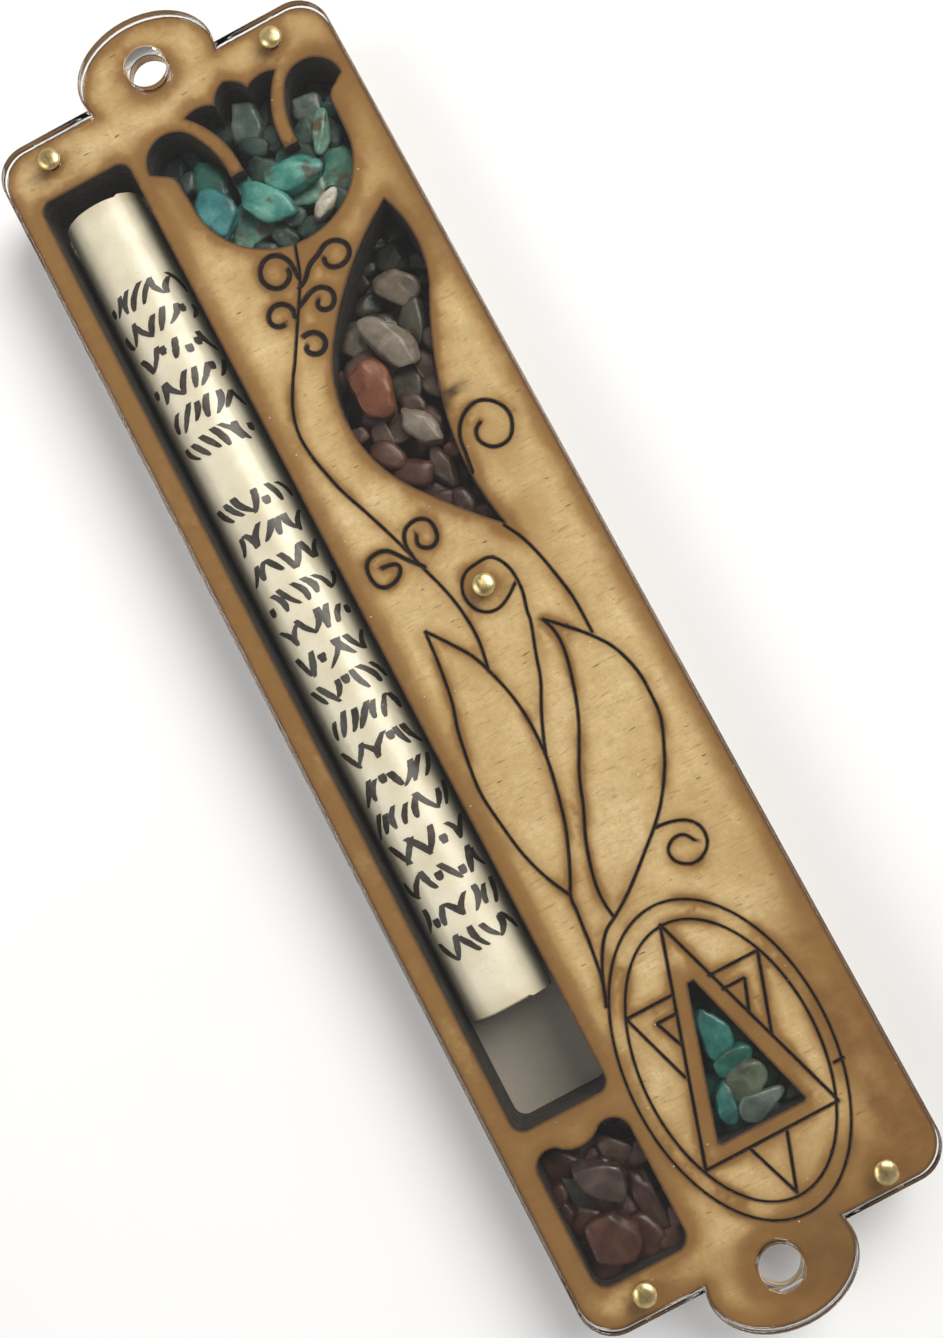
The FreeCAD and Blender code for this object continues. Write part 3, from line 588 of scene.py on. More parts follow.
def brass():
    """Hammered brass with some tarnish."""
    n = Nodes("brass", Metallic=1.0, Roughness=0.2)
    tone = n.noise(1.6, 4)
    colour = n.ramp(tone, (0.3, (0.50, 0.36, 0.15)), (0.6, (0.72, 0.57, 0.28)), (0.8, (0.86, 0.73, 0.43)))
    tarnish = n.span(n.noise(3.4, 3, 0.7), 0.56, 0.75, 0.0, 0.6)
    colour = n.mix(tarnish, colour, (0.32, 0.18, 0.06))
    n.set("Base Color", colour)
    marks = n.noise(1.0, 2, at=n.stretched(14.0, 2.0, 2.0, 0.7))
    n.set("Roughness", n.math("MULTIPLY_ADD", tarnish, 0.3, n.span(marks, 0.3, 0.7, 0.26, 0.38)))
    n.set("Normal", n.bump(marks, 0.25, 0.02))
    return n.material


def acrylic():
    """Clear cast acrylic. Rays from the lamps pass straight through it, so what lies behind stays lit."""
    n = Nodes("clear_acrylic", Transmission_Weight=1.0, Roughness=0.0, IOR=1.49)
    n.surface.inputs["Base Color"].default_value = (0.985, 0.975, 0.96, 1.0)
    ripple = n.noise(0.06, 2)
    scratch = n.noise(1.0, 1, at=n.stretched(0.14, 7.0, 1.0, 0.8))
    marks = n.times(n.span(scratch, 0.78, 0.84), 0.02)
    n.set("Normal", n.bump(n.math("ADD", ripple, marks), 0.08, 0.3))
    rays = n.add("LightPath")
    through = n.add("BsdfTransparent", {"Color": (0.94, 0.93, 0.91, 1.0)}).outputs[0]
    both = n.math("MAXIMUM", rays.outputs["Is Shadow Ray"], rays.outputs["Is Diffuse Ray"])
    mixed = n.add("MixShader", {0: both, 1: n.surface.outputs[0], 2: through})
    n.tree.links.new(mixed.outputs[0], n.output.inputs["Surface"])
    return n.material


def stone(name, dark, mid, light, vein=None, vein_share=0.5, scale=0.45, clear=0.0, gloss=0.3):
    """Tumbled stone: clouded body, soft veins, a satin polish and a little light carried inside."""
    n = Nodes(name, Roughness=gloss, IOR=1.4, Coat_Weight=0.05, Coat_Roughness=0.16,
              Subsurface_Weight=clear, Subsurface_Scale=0.0012)
    n.surface.inputs["Subsurface Radius"].default_value = (1.0, 0.7, 0.5)
    bent = n.add("TexNoise", {"Vector": n.mm, "Scale": 0.9}).outputs["Color"]
    warp = n.add("VectorMath", {0: n.mm, 1: bent}, operation="ADD").outputs[0]
    cloud = n.noise(scale, 5, 0.62, at=warp)
    colour = n.ramp(cloud, (0.34, dark), (0.5, mid), (0.68, light))
    grain = n.noise(6.0, 3, 0.7)
    colour = n.mix(n.span(grain, 0.4, 0.75, 0.0, 0.4), colour, tuple(0.5 * c for c in mid))
    if vein:
        walls = n.cells(warp, scale * 1.1, "DISTANCE_TO_EDGE")
        where = n.span(n.noise(0.55, 3), 0.66 - 0.25 * vein_share, 0.82 - 0.25 * vein_share)
        colour = n.mix(n.times(n.span(walls, 0.0, 0.32, 0.95, 0.0), where), colour, vein)
    n.set("Base Color", colour)
    n.set("Roughness", n.span(grain, 0.3, 0.8, gloss, gloss + 0.2))
    n.set("Normal", n.bump(n.math("MULTIPLY_ADD", grain, 0.3, cloud), 0.35, 0.14))
    return n.material


# ---- wooden front


def panel_points(loops, fine, lines, rims):
    """Points for the front's mesh: outlines, rows beside every engraved line, and a loose grid between."""
    beside = [loop + 0.1 * sideways(loop, closed=True) for loop in fine]
    for line, extra in engraved_lines(0.2):
        side = sideways(line)
        beside.append(line)
        beside += [line + sign * (offset + extra) * side for offset in (0.08, 0.15, 0.28) for sign in (1, -1)]
    gx, gy = np.meshgrid(np.arange(-14.9, 15, 0.5), np.arange(-57.5, 57.6, 0.5))
    grid = np.column_stack([gx.ravel(), gy.ravel()])
    grid += np.random.default_rng(5).uniform(-0.12, 0.12, grid.shape)
    cell = 0.06
    kept = list(np.vstack(fine))
    taken = {(round(x / cell), round(y / cell)) for x, y in kept}
    # at most one point in a cell, and each kind keeps its distance from the lines and the rims
    for more, from_lines, from_rims in ((np.vstack(beside), 0.0, 0.07), (grid, 0.42, 0.3)):
        for x, y in more[inside(more, loops)]:
            place = (round(x / cell), round(y / cell))
            if place in taken or rims.find((x, y, 0))[2] < from_rims or lines.find((x, y, 0))[2] < from_lines:
                continue
            taken.add(place)
            kept.append((x, y))
    return kept


def triangles_in(loops, points, edges):
    """Triangles between points, cut to the loops, and the points that they use."""
    flat = geometry.delaunay_2d_cdt([Vector(p) for p in points], edges, [], 0, 1e-7)
    points = np.array([tuple(v) for v in flat[0]])
    faces = np.array([f for f in flat[2] if len(f) == 3])
    faces = faces[inside(points[faces].mean(1), loops)]
    used = np.unique(faces)
    renumber = np.full(len(points), -1)
    renumber[used] = np.arange(len(used))
    return points[used], renumber[faces]


def build_panel(*materials):
    """The engraved front layer: one fine mesh with real grooves, cut to the CAD part's own outlines."""
    low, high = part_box("front_panel")
    bottom, top = low.z / MM, high.z / MM - 0.02
    loops = rim_loops("front_panel", high.z)
    fine = [divided(loop, 0.3) for loop in loops]
    walls = [divided(loop, 0.08) for loop in loops]
    dense = engraved_lines(0.05)
    lines = tree_of(np.vstack([line for line, _ in dense]))
    extras = np.concatenate([np.full(len(line), extra) for line, extra in dense])
    points = panel_points(loops, fine, lines, tree_of(np.vstack(walls)))
    points, faces = triangles_in(loops, points, closed_edges(fine))
    nearest = [lines.find((x, y, 0)) for x, y in points]
    line = np.array([max(0.0, near[2] - extras[near[1]]) for near in nearest])
    cut = distances(tree_of(np.vstack(walls[1:])), points)
    rim = distances(tree_of(walls[0]), points)
    waver = np.array([noise.noise((x * 0.9, y * 0.9, 3.0)) for x, y in points])
    half_width, slope, depth, worn = 0.135, 0.07, 0.24, 0.05
    groove = np.clip((half_width + 0.02 * waver - line) / slope, 0, 1)
    z = top - depth * groove * (1 + 0.25 * waver) - worn * (np.minimum(cut, rim) < 0.03)
    count = len(points)
    verts = np.vstack([np.column_stack([points, z]), np.column_stack([points, np.full(count, bottom)])])
    steps = {(int(a), int(b)) for f in faces for a, b in zip(f, np.roll(f, -1))}
    all_faces = [tuple(map(int, f)) for f in faces]
    all_faces += [tuple(int(i) + count for i in reversed(f)) for f in faces]
    all_faces += [(a, a + count, b + count, b) for a, b in sorted(steps) if (b, a) not in steps]
    piece = new_piece("engraved_panel", verts, all_faces, "case", materials, 40,
                      replaces=["front_panel"])
    for face in piece.data.polygons[2 * len(faces):]:
        # the hanging holes were drilled afterwards, so their walls are bare wood
        x, y = face.center.x / MM, face.center.y / MM
        drilled = abs(x) < 2.2 and 51 < abs(y) < 55.3
        face.material_index = 2 if drilled else 3 if rim[face.vertices[0] % count] < 0.05 else 1
    fields = {"line": line, "cut": cut, "rim": rim,
              "scorch": patches(points, SCORCHES), "browned": patches(points, BROWNED)}
    for name, values in fields.items():
        float_attribute(piece.data, name, np.concatenate([values, values]))


def patches(points, where):
    """How strongly soft oval patches cover each point, from 0 to 1."""
    left = np.ones(len(points))
    for (cx, cy), across, along, turn, strength in where:
        c, s = math.cos(math.radians(turn)), math.sin(math.radians(turn))
        dx, dy = points[:, 0] - cx, points[:, 1] - cy
        r = np.hypot((c * dx + s * dy) / across, (-s * dx + c * dy) / along)
        fade = np.clip(1.5 - r, 0, 1)
        left *= 1 - strength * fade * fade * (3 - 2 * fade)
    return 1 - left


def build_cover(clear):
    """The clear front: the CAD part's outlines with flame-polished, slightly rounded edges."""
    low, high = (corner.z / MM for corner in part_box("front_cover"))
    loops = rim_loops("front_cover", high * MM)
    round_by, turns = 0.14, [i * math.pi / 6 for i in range(4)]
    levels = [(round_by * (1 - math.sin(t)), low + round_by * (1 - math.cos(t))) for t in turns]
    levels += [(offset, low + high - z) for offset, z in reversed(levels)]
    verts, faces, top, bottom, tops = [], [], [], [], []
    for loop in loops:
        side, n, first = sideways(loop, closed=True), len(loop), len(verts)
        for offset, z in levels:
            verts += [(x, y, z) for x, y in loop + offset * side]
        faces += quads(first, len(levels), n, closed=True)
        bottom += range(first, first + n)
        top += range(len(verts) - n, len(verts))
        tops.append(loop + levels[-1][0] * side)
    around = len(faces)
    triangles = triangles_in(tops, np.vstack(tops), closed_edges(tops))[1].tolist()
    faces += [tuple(top[i] for i in f) for f in triangles]
    faces += [tuple(bottom[i] for i in reversed(f)) for f in triangles]
    piece = new_piece("polished_cover", verts, faces, "case", clear,
                      replaces=["front_cover"])
    for face in piece.data.polygons[around:]:
        face.use_smooth = False


# ---- the roll


class Winding:
    """The roll's oval spiral, which starts on the hidden side and runs inwards."""

    turns, thick, pitch, per_turn = 9, 0.13, 0.2, 72

    def __init__(self):
        low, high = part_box("scroll")
        self.cx, self.cz = (low.x + high.x) / 2 / MM, (low.z + high.z) / 2 / MM
        self.a, self.b = (high.x - low.x) / 2 / MM, (high.z - low.z) / 2 / MM
        self.ends = low.y / MM, high.y / MM
        self.count = self.turns * self.per_turn + 1
        self.angle = -math.pi / 2 - 0.6 + np.arange(self.count) * 2 * math.pi / self.per_turn
        self.inset = self.pitch * np.arange(self.count) / self.per_turn
        self.wobble = np.array([0.035 * noise.noise((math.cos(t) * 1.4, math.sin(t) * 1.4, 0.3 * i))
                                for i, t in enumerate(self.inset)])
        # the outside turn's arc length, from one side over the front to the other
        self.table = np.linspace(0, math.pi, 400)
        run = np.hypot(np.diff(self.a * np.cos(self.table)), np.diff(self.b * np.sin(self.table)))
        self.arc = np.concatenate([[0], np.cumsum(run)])

    def ring(self, extra):
        """One surface of the sheet, `extra` further in, as rows of x and z."""
        shrink = 0.02 + self.inset + extra + np.abs(self.wobble)
        return np.column_stack([self.cx + (self.a - shrink) * np.cos(self.angle),
                                self.cz + (self.b - shrink) * np.sin(self.angle)])

    def on_front(self, u, v):
        """A place just above the outside turn; u runs round the oval from its front, v along it."""
        t = np.interp(self.arc[-1] / 2 - u, self.arc, self.table)
        turn = (t - self.angle[0]) / (2 * math.pi) * self.pitch
        i = int(round((t - self.angle[0]) / (2 * math.pi / self.per_turn)))
        shrink = 0.02 + turn % self.pitch + abs(self.wobble[min(max(i, 0), self.count - 1)]) - 0.018
        return (self.cx + (self.a - shrink) * math.cos(t), v, self.cz + (self.b - shrink) * math.sin(t))


def build_sheet(winding, skin):
    """The sheet rolled into an oval, with its winding open at both ends."""
    rows, n = np.linspace(*winding.ends, 40), winding.count
    # past the first half turn, each turn stands a little further in than the next at the ends
    slip = 0.05 + 0.16 * (0.5 + 0.5 * np.sin(1.7 * winding.inset / winding.pitch))
    slip[winding.inset <= 0.5 * winding.pitch] = 0.0
    verts, faces, edge = [], [], []
    for j, y in enumerate(rows):
        inwards = 1 if j == 0 else -1 if j == len(rows) - 1 else 0
        for surface in (winding.ring(0.0), winding.ring(winding.thick)):
            verts += [(x, y + inwards * slip[i], z) for i, (x, z) in enumerate(surface)]
            edge += [float(inwards != 0)] * n
    faces += quads(0, len(rows), n, stride=2 * n) + quads(n, len(rows), n, flip=True, stride=2 * n)
    for o in range(0, 2 * n * (len(rows) - 1), 2 * n):
        p, end = o + 2 * n, n - 1
        faces += [(o, p, p + n, o + n), (o + end, o + end + n, p + end + n, p + end)]
    last = 2 * (len(rows) - 1) * n
    for i in range(n - 1):
        faces.append((i, i + n, i + n + 1, i + 1))
        faces.append((last + i, last + i + 1, last + i + n + 1, last + i + n))
    piece = new_piece("rolled_sheet", verts, faces, "scroll_roll", skin, 50, replaces=["scroll"])
    float_attribute(piece.data, "edge", edge)


def build_strokes(winding, ink_material):
    """Rows of plain brush strokes and dots that aren't letters: six rows, a gap, then fifteen."""
    verts, faces = [], []
    rng = random.Random(11)
    steps, across = 9, 4
    rows = [37.0 - 2.76 * i for i in range(6)] + [17.3 - 2.78 * i for i in range(15)]
    for row, v in enumerate(rows):
        u = 3.8 - rng.uniform(0.0, 0.4)
        while u > -3.4:
            lean = rng.choice((-0.75, -0.5, -0.35, 0.4, 0.7))
            tall = rng.choice((1.5, 1.7, 1.9, 2.0)) * rng.uniform(0.9, 1.05)
            lift = rng.uniform(-0.12, 0.12)
            wide = rng.uniform(0.6, 0.76)
            bend = rng.choice((-0.3, -0.15, 0.0, 0.15, 0.3))
            if rng.random() < 0.1:
                # a dot
                tall, wide, lean, bend = 0.75, 0.75, 0.0, 0.0
                lift = rng.choice((-0.4, 0.0, 0.4))
            first = len(verts)
            for k in range(steps + 1):
                s = k / steps
                fat = wide * (0.42 + 0.58 * math.sin(math.pi * min(1.0, 0.16 + 0.84 * s)) ** 0.6)
                fat *= 1 + 0.22 * noise.noise((row * 3.1 + u, k * 0.7, 1.0))
                du = lean * tall * (s - 0.5) + bend * math.sin(math.pi * s)
                dv = lift + tall * (0.5 - s)
                offsets = [fat * (c / across - 0.5) for c in range(across + 1)]
                verts += [winding.on_front(u + du + offset, v + dv) for offset in offsets]
            faces += quads(first, steps + 1, across + 1, flip=True)
            u -= rng.uniform(0.92, 1.1)
    new_piece("brush_strokes", verts, faces, "scroll_roll", ink_material)


# ---- brass pins


def build_pins(metal):
    """Hammered brass pins: domed heads that sit a little askew, on plain shanks."""
    verts, faces = [], []
    head_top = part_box("brass_pins")[1].z / MM
    head_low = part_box("front_cover")[1].z / MM
    rng = random.Random(3)
    # the head from its middle to its rim and under: radius and height, as shares of the head's own
    profile = [(0.0, 1.0), (0.25, 0.98), (0.5, 0.91), (0.7, 0.77), (0.85, 0.56), (0.95, 0.32), (1.0, 0.12),
               (0.985, 0.0), (0.9, -0.03), (0.5, -0.03)]
    for k, solid in enumerate(islands("brass_pins")):
        cap = solid[solid[:, 2] > head_low - 0.01]
        cx, cy = (cap[:, :2].min(0) + cap[:, :2].max(0)) / 2
        radius = np.ptp(cap[:, 0]) / 2 * 0.99
        shank = solid[solid[:, 2] < head_low - 0.5]
        shank_radius, foot = np.ptp(shank[:, 0]) / 2, solid[:, 2].min()
        lean_x, lean_y = rng.uniform(-0.05, 0.05), rng.uniform(-0.05, 0.05)
        tall = (head_top - head_low) * rng.uniform(0.7, 0.8)
        rings = [(r * radius, head_low + 0.03 + h * tall, True) for r, h in profile]
        rings += [(shank_radius, head_low - 0.02, False), (shank_radius, foot + 1.2, False)]
        rings.append((0.04, foot, False))
        sides, first = 40, len(verts)
        for r, z, is_head in rings:
            for s in range(sides):
                t = 2 * math.pi * s / sides
                x, y = r * math.cos(t), r * math.sin(t)
                dent = 0.022 * noise.noise((x * 1.5, y * 1.5, k * 5.0)) if is_head else 0.0
                tilt = (lean_x * x + lean_y * y) * 0.6 if is_head else 0.0
                z_here = min(z + tilt + dent, head_top - 0.005)
                verts.append((cx + x * (1 + dent), cy + y * (1 + dent), z_here))
        faces += quads(first, len(rings), sides, closed=True, flip=True)
        tip = first + (len(rings) - 1) * sides
        faces.append(tuple(tip + s for s in reversed(range(sides))))
        faces.append(tuple(first + s for s in range(sides)))
    new_piece("hammered_pins", verts, faces, "case", metal, 60, replaces=["brass_pins"])


# ---- gemstone chips


BALLS = {}

# Heights between which every stone stays.
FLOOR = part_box("back_plate")[1].z / MM + 0.02
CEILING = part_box("front_cover")[0].z / MM - 0.04

# A broken chip has corners that its CAD ellipsoid lacks, so it is this much longer and wider.
SWELL = {"tulip": (1.18, 1.6), "leaf": (1.18, 1.36), "vessel": (1.16, 1.3), "triangle": (1.45, 2.1)}


def ball(subdivisions):
    """The points and faces of a unit ball, made once for each fineness."""
    if subdivisions not in BALLS:
        bm = bmesh.new()
        bmesh.ops.create_icosphere(bm, subdivisions=subdivisions, radius=1.0)
        sides = [tuple(v.index for v in f.verts) for f in bm.faces]
        BALLS[subdivisions] = (np.array([v.co for v in bm.verts]), sides)
        bm.free()
    return BALLS[subdivisions]


def chip(centre, half, angle, seed, subdivisions=4):
    """A tumbled chip: a flattish slab with a few broad facets, rounded edges and slight hollows."""
    rng = np.random.default_rng(seed)
    body, faces = ball(subdivisions)
    planes = rng.normal(size=(7, 3)) * (1, 1, 0.5)
    planes = np.vstack([planes, (0.1, 0.1, 1.0), (-0.25, 0.2, 1.0), (0.0, -0.1, -1.0)])
    planes /= np.linalg.norm(planes, axis=1)[:, None]
    reach = np.concatenate([rng.uniform(0.55, 0.98, 7), rng.uniform(0.5, 0.62, 3)])
    hit = np.clip(body @ planes.T, 1e-3, None) / reach
    # a soft maximum of the facets and the ball keeps the edges between facets rounded
    power = 16.0
    radius = (1.0 + (hit**power).sum(1)) ** (-1 / power)
    body = body * radius[:, None]
    shift = float(seed % 97)
    broad = [noise.noise((1.7 * x, 1.7 * y, 1.7 * z + shift)) for x, y, z in body]
    small = [noise.noise((5 * x, 5 * y, 5 * z + shift)) for x, y, z in body]
    body *= (1 + 0.14 * (np.array(broad) + 0.35 * np.array(small)))[:, None]
    body[:, 2] += body[:, :2] @ rng.uniform(-0.16, 0.16, 2)
    low, high = body.min(0), body.max(0)
    body = (body - (low + high) / 2) / (high - low) * 2 * half
    c, s = math.cos(angle), math.sin(angle)
    turned = np.column_stack([c * body[:, 0] - s * body[:, 1], s * body[:, 0] + c * body[:, 1], body[:, 2]])
    return turned + centre, faces


def held_in(verts, loop, tree):
    """The chip pressed against the walls, floor and cover of its opening where it would pass them."""
    out = ~inside(verts[:, :2], [loop])
    for i in np.nonzero(out)[0]:
        wall = tree.find((verts[i, 0], verts[i, 1], 0))[0]
        verts[i, :2] = wall.x, wall.y
    verts[:, 2] = np.clip(verts[:, 2], FLOOR, CEILING)
    return verts


def which_of(y, loop, count, stray):
    """Which of `count` stones, sorted from the top of an opening to its foot, lies at height y."""
    low, high = loop[:, 1].min(), loop[:, 1].max()
    return int(np.clip((high - y) / (high - low) * count + stray, 0, count - 1))


def opening_at(place, loops):
    """The opening round a place: its outline, one just inside it with its tree, and a list for its chips."""
    loop = next(l for l in loops if inside(place[None, :], [l])[0])
    walls = divided(loop, 0.2)
    shrunk = walls + 0.05 * sideways(walls, closed=True)
    return loop, shrunk, tree_of(shrunk), []


def build_chips(stones):
    """Every CAD chip as a tumbled stone. Returns the openings, each with the chips in it."""
    openings = {}
    loops = rim_loops("core_layer_front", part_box("core_layer_front")[1].z)[1:]
    for node, (material, slot) in stones.items():
        group = node.split("_")[0]
        solids = islands(node)
        if group not in openings:
            openings[group] = opening_at(solids[0].mean(0)[:2], loops)
        loop, shrunk, tree, chips = openings[group]
        verts, faces = [], []
        for k, solid in enumerate(solids):
            centre = (solid.min(0) + solid.max(0)) / 2
            flat = solid[:, :2] - centre[:2]
            along = np.linalg.eigh(flat.T @ flat)[1][:, 1]
            longer, wider = SWELL[group]
            half = np.array([np.abs(flat @ along).max() * longer,
                             np.abs(flat @ (-along[1], along[0])).max() * wider, np.ptp(solid[:, 2]) / 2])
            chips.append((centre, half))
            seed = sum(map(ord, node)) * 7 + k * 131
            body, sides = chip(centre, half, math.atan2(along[1], along[0]), seed)
            faces += [tuple(i + len(verts) for i in f) for f in sides]
            verts += map(tuple, held_in(body, shrunk, tree))
        piece = new_piece(node + "_stone", verts, faces, "case", material, replaces=[node])
        if isinstance(material, list):
            share = len(piece.data.polygons) // len(solids)
            for i, face in enumerate(piece.data.polygons):
                face.material_index = which_of(solids[i // share][:, 1].mean(), loop, len(material), 0.0)
    return openings


def build_small_stones(group, opening, materials):
    """Small broken stones that fill the gaps between an opening's chips, fewer near the cover."""
    loop, shrunk, tree, chips = opening
    rng = np.random.default_rng(len(group) * 17)
    low, high = loop.min(0), loop.max(0)
    tip = high[1] - 0.3 * (high[1] - low[1])
    verts, faces, which = [], [], []
    # each course's height over the floor and the largest radius of its stones
    for course, widest in ((0.6, 2.2), (2.0, 2.1), (3.3, 1.9), (4.4, 1.7)):
        level = FLOOR + course
        placed = [(c[0], c[1], min(h[0], h[1])) for c, h in chips if abs(c[2] - level) < 0.9]
        tries = rng.uniform(low, high, (700, 2))
        for x, y in tries[inside(tries, [shrunk])]:
            r = min(rng.uniform(0.6, 1.0) * widest, 2.0 * tree.find((x, y, 0))[2])
            # the opening's tip is only filled low down
            if r < 0.6 or course > 2.5 and y > tip:
                continue
            if any(math.hypot(x - px, y - py) < 0.8 * (r + pr) for px, py, pr in placed):
                continue
            placed.append((x, y, r))
            half = np.array([r * rng.uniform(1.15, 1.6), r, rng.uniform(0.5, 0.72)])
            seed = int(rng.integers(1, 9999))
            body, sides = chip(np.array([x, y, level]), half, rng.uniform(0, math.pi), seed, 3)
            faces += [tuple(i + len(verts) for i in f) for f in sides]
            verts += map(tuple, held_in(body, shrunk, tree))
            which += [which_of(y, loop, len(materials), rng.uniform(-0.9, 0.9))] * len(sides)
    piece = new_piece(group + "_small_stones", verts, faces, "case", materials)
    piece.data.polygons.foreach_set("material_index", which)


build_panel(birch(), charred("charred_wall"), raw_wood(), panel_edge())
roll = Winding()
build_sheet(roll, parchment())
build_strokes(roll, ink())
build_pins(brass())
build_cover(acrylic())

plies, plastic = charred("charred_birch", plies=True), grey_plastic()
for node, material in (("core_layer_front", plies), ("core_layer_rear", plies), ("back_plate", plastic),
                       ("scroll_door", plastic)):
    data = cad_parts[node].data
    data.materials.clear()
    data.materials.append(material)

# Stones: their dark, middle and light colour, then perhaps the colour and the share of their veins.
turquoise = stone(
    "turquoise", (0.018, 0.10, 0.085), (0.035, 0.205, 0.175), (0.12, 0.33, 0.27), (0.05, 0.035, 0.02))
blue_turquoise = stone(
    "blue_turquoise", (0.018, 0.10, 0.112), (0.03, 0.17, 0.185), (0.09, 0.28, 0.275), (0.04, 0.04, 0.025),
    0.3)
veined_turquoise = stone(
    "veined_turquoise", (0.045, 0.075, 0.045), (0.05, 0.19, 0.145), (0.16, 0.33, 0.255),
    (0.085, 0.045, 0.028), 0.8, 0.6)
pale_turquoise = stone(
    "pale_turquoise", (0.05, 0.15, 0.115), (0.12, 0.27, 0.205), (0.28, 0.40, 0.30), (0.08, 0.05, 0.025))
moss = stone(
    "moss_stone", (0.010, 0.024, 0.020), (0.022, 0.048, 0.039), (0.050, 0.092, 0.073), (0.02, 0.02, 0.015),
    clear=0.1, gloss=0.4)
# Darker copies of the moss and olive stones: painted shade for the tops of the openings and the gaps there.
shaded_moss = stone(
    "shaded_moss_stone", (0.006, 0.014, 0.012), (0.013, 0.028, 0.023), (0.028, 0.055, 0.045), clear=0.05,
    gloss=0.42)
shaded_olive = stone(
    "shaded_olive_stone", (0.010, 0.011, 0.008), (0.021, 0.022, 0.016), (0.042, 0.042, 0.031), clear=0.05,
    gloss=0.42)
sage = stone(
    "sage_stone", (0.024, 0.034, 0.019), (0.055, 0.072, 0.042), (0.11, 0.14, 0.088), (0.02, 0.02, 0.012), 0.4,
    clear=0.15)
sea_grey = stone(
    "sea_grey_stone", (0.035, 0.058, 0.052), (0.08, 0.115, 0.10), (0.16, 0.195, 0.175), clear=0.25)
white_edge = stone("white_stone", (0.22, 0.20, 0.16), (0.40, 0.37, 0.31), (0.62, 0.59, 0.52), clear=0.25)
quartz = stone("smoky_quartz", (0.10, 0.083, 0.062), (0.185, 0.155, 0.12), (0.31, 0.275, 0.23), clear=0.3)
rose_grey = stone(
    "rose_grey_stone", (0.065, 0.05, 0.034), (0.11, 0.086, 0.058), (0.17, 0.14, 0.105), clear=0.25)
olive = stone("olive_stone", (0.020, 0.019, 0.012), (0.042, 0.039, 0.025), (0.078, 0.071, 0.048), clear=0.15)
brick = stone(
    "brick_stone", (0.07, 0.021, 0.008), (0.14, 0.042, 0.016), (0.20, 0.070, 0.030), (0.05, 0.02, 0.01), 0.3,
    clear=0.15)
mauve = stone("mauve_stone", (0.034, 0.018, 0.012), (0.070, 0.038, 0.026), (0.12, 0.074, 0.055), clear=0.25)
maroon = stone("maroon_stone", (0.020, 0.008, 0.006), (0.044, 0.017, 0.012), (0.085, 0.036, 0.027), clear=0.2)
umber = stone("umber_stone", (0.028, 0.011, 0.007), (0.07, 0.027, 0.016), (0.11, 0.048, 0.030), clear=0.15)
slate = stone(
    "slate_mauve_stone", (0.026, 0.016, 0.013), (0.056, 0.036, 0.030), (0.10, 0.070, 0.060), clear=0.2)
teal = stone(
    "teal_stone", (0.006, 0.050, 0.044), (0.014, 0.115, 0.101), (0.055, 0.24, 0.205), (0.01, 0.03, 0.02), 0.4)
emerald = stone(
    "dark_green_stone", (0.004, 0.038, 0.03), (0.01, 0.085, 0.066), (0.04, 0.17, 0.13), (0.01, 0.02, 0.015),
    0.4)

# The leaf's first chip takes the darker olive copy, which is painted shade at the leaf's top.
CHIP_STONES = {
    "tulip_chip": (turquoise, turquoise, pale_turquoise, blue_turquoise, veined_turquoise, moss, moss,
                   white_edge, veined_turquoise, pale_turquoise, sea_grey, sea_grey, moss, moss, moss),
    "leaf_chip": (shaded_olive, rose_grey, olive, quartz, olive, rose_grey, brick, olive, mauve, quartz,
                  maroon, mauve),
    "vessel_chip": (slate, olive, umber, maroon, maroon, mauve),
    "triangle_chip": (teal, emerald, sage, teal, sea_grey, moss),
}
SLOTS = {"tulip": "green_chips", "triangle": "green_chips", "leaf": "brown_chips", "vessel": "brown_chips"}
# What lies under and between them, from an opening's top to its foot; the darker copies of moss and olive at
# the tops are painted shade.
DEEP_STONES = {
    "tulip": [shaded_moss, moss, emerald, moss],
    "triangle": [shaded_moss, emerald, moss],
    "leaf": [shaded_olive, olive, olive, mauve, maroon, umber, maroon],
    "vessel": [maroon, umber],
}
stones = {"%s_%02d" % (group, i + 1): (material, SLOTS[group.split("_")[0]])
          for group, materials in CHIP_STONES.items() for i, material in enumerate(materials)}
stones.update({group + "_under_chips": (deep, SLOTS[group]) for group, deep in DEEP_STONES.items()})
openings = build_chips(stones)
for group, deep in DEEP_STONES.items():
    build_small_stones(group, openings[group], deep)


# ---- stage, light and camera


def area(name, place, size, watts, colour):
    """A round studio lamp, placed in metres and aimed at the middle of the case."""
    light = bpy.data.lights.new(name, "AREA")
    light.shape, light.size, light.energy, light.color = "DISK", size, watts, colour
    lamp = shown(name, light)
    lamp.location = place
    lamp.rotation_mode = "QUATERNION"
    lamp.rotation_quaternion = (-Vector(place)).to_track_quat("-Z", "Y")


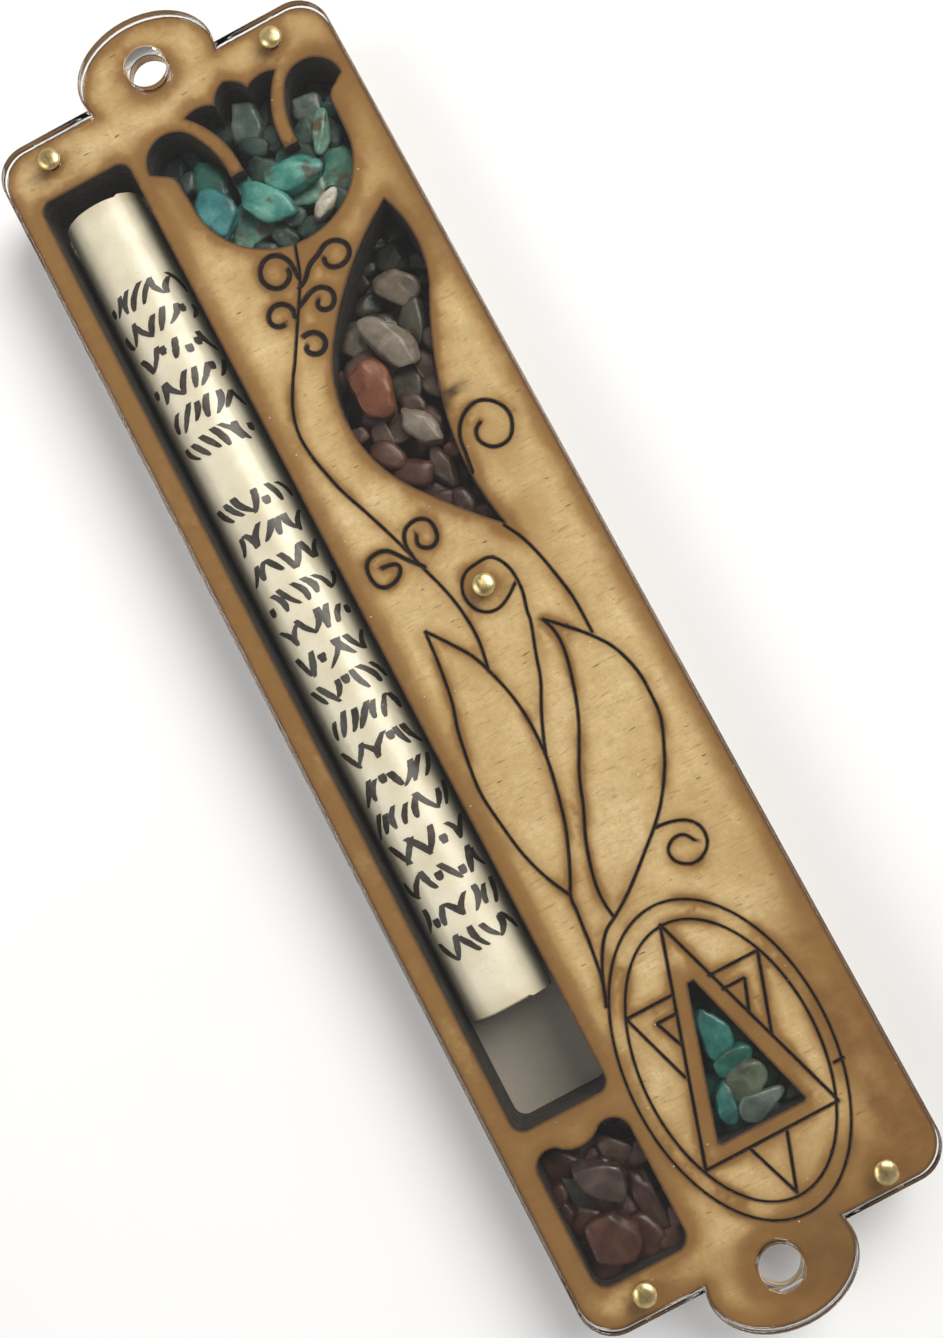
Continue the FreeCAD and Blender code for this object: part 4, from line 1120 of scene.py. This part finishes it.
bm = bmesh.new()
bmesh.ops.create_grid(bm, x_segments=8, y_segments=8, size=1.2)
ground = bpy.data.meshes.new("floor")
bm.to_mesh(ground)
bm.free()
floor = shown("floor", ground)
floor.location = (0, 0, -0.00002)
paper = Nodes("pale_floor", Roughness=0.7)
shade = paper.noise(0.02, 3)
paper.set("Base Color", paper.ramp(shade, (0.3, (0.86, 0.86, 0.86)), (0.7, (0.89, 0.89, 0.885))))
ground.materials.append(paper.material)

area("key", (0.24, 0.13, 0.36), 0.30, 1.9, (1.0, 0.985, 0.955))
area("fill", (-0.36, 0.06, 0.34), 0.34, 0.75, (0.97, 0.98, 1.0))

world = bpy.data.worlds.new("studio")
world.use_nodes = True
sky = world.node_tree.nodes
background = sky["Background"]
background.inputs[0].default_value = (1.0, 0.99, 0.975, 1.0)
# softer overhead than round the sides, so the clear front stays clear when seen from above
direction, height = sky.new("ShaderNodeTexCoord"), sky.new("ShaderNodeSeparateXYZ")
glow = sky.new("ShaderNodeMapRange")
glow.interpolation_type = "SMOOTHSTEP"
for socket, value in (("From Min", 0.35), ("From Max", 0.95), ("To Min", 0.62), ("To Max", 0.2)):
    glow.inputs[socket].default_value = value
world.node_tree.links.new(direction.outputs["Generated"], height.inputs[0])
world.node_tree.links.new(height.outputs[2], glow.inputs["Value"])
world.node_tree.links.new(glow.outputs["Result"], background.inputs[1])
bpy.context.scene.world = world
bpy.context.scene.view_settings.view_transform = "Standard"

camera = bpy.data.cameras.new("camera")
camera.sensor_fit, camera.sensor_width, camera.lens = "HORIZONTAL", 36.0, 57.26
camera.clip_start, camera.clip_end = 0.002, 20.0
viewer = shown("camera", camera)
# the photo's own view: where the camera stands, where it looks, and which way is up
place = Vector((2.91, -16.36, 124.62)) * MM
forward, up = Vector((-0.021, 0.1136, -0.9933)).normalized(), Vector((0.4705, 0.8777, 0.0904)).normalized()
right = forward.cross(up).normalized()
up = right.cross(forward)
viewer.matrix_world = Matrix.Translation(place) @ Matrix((right, up, -forward)).transposed().to_4x4()
bpy.context.scene.camera = viewer
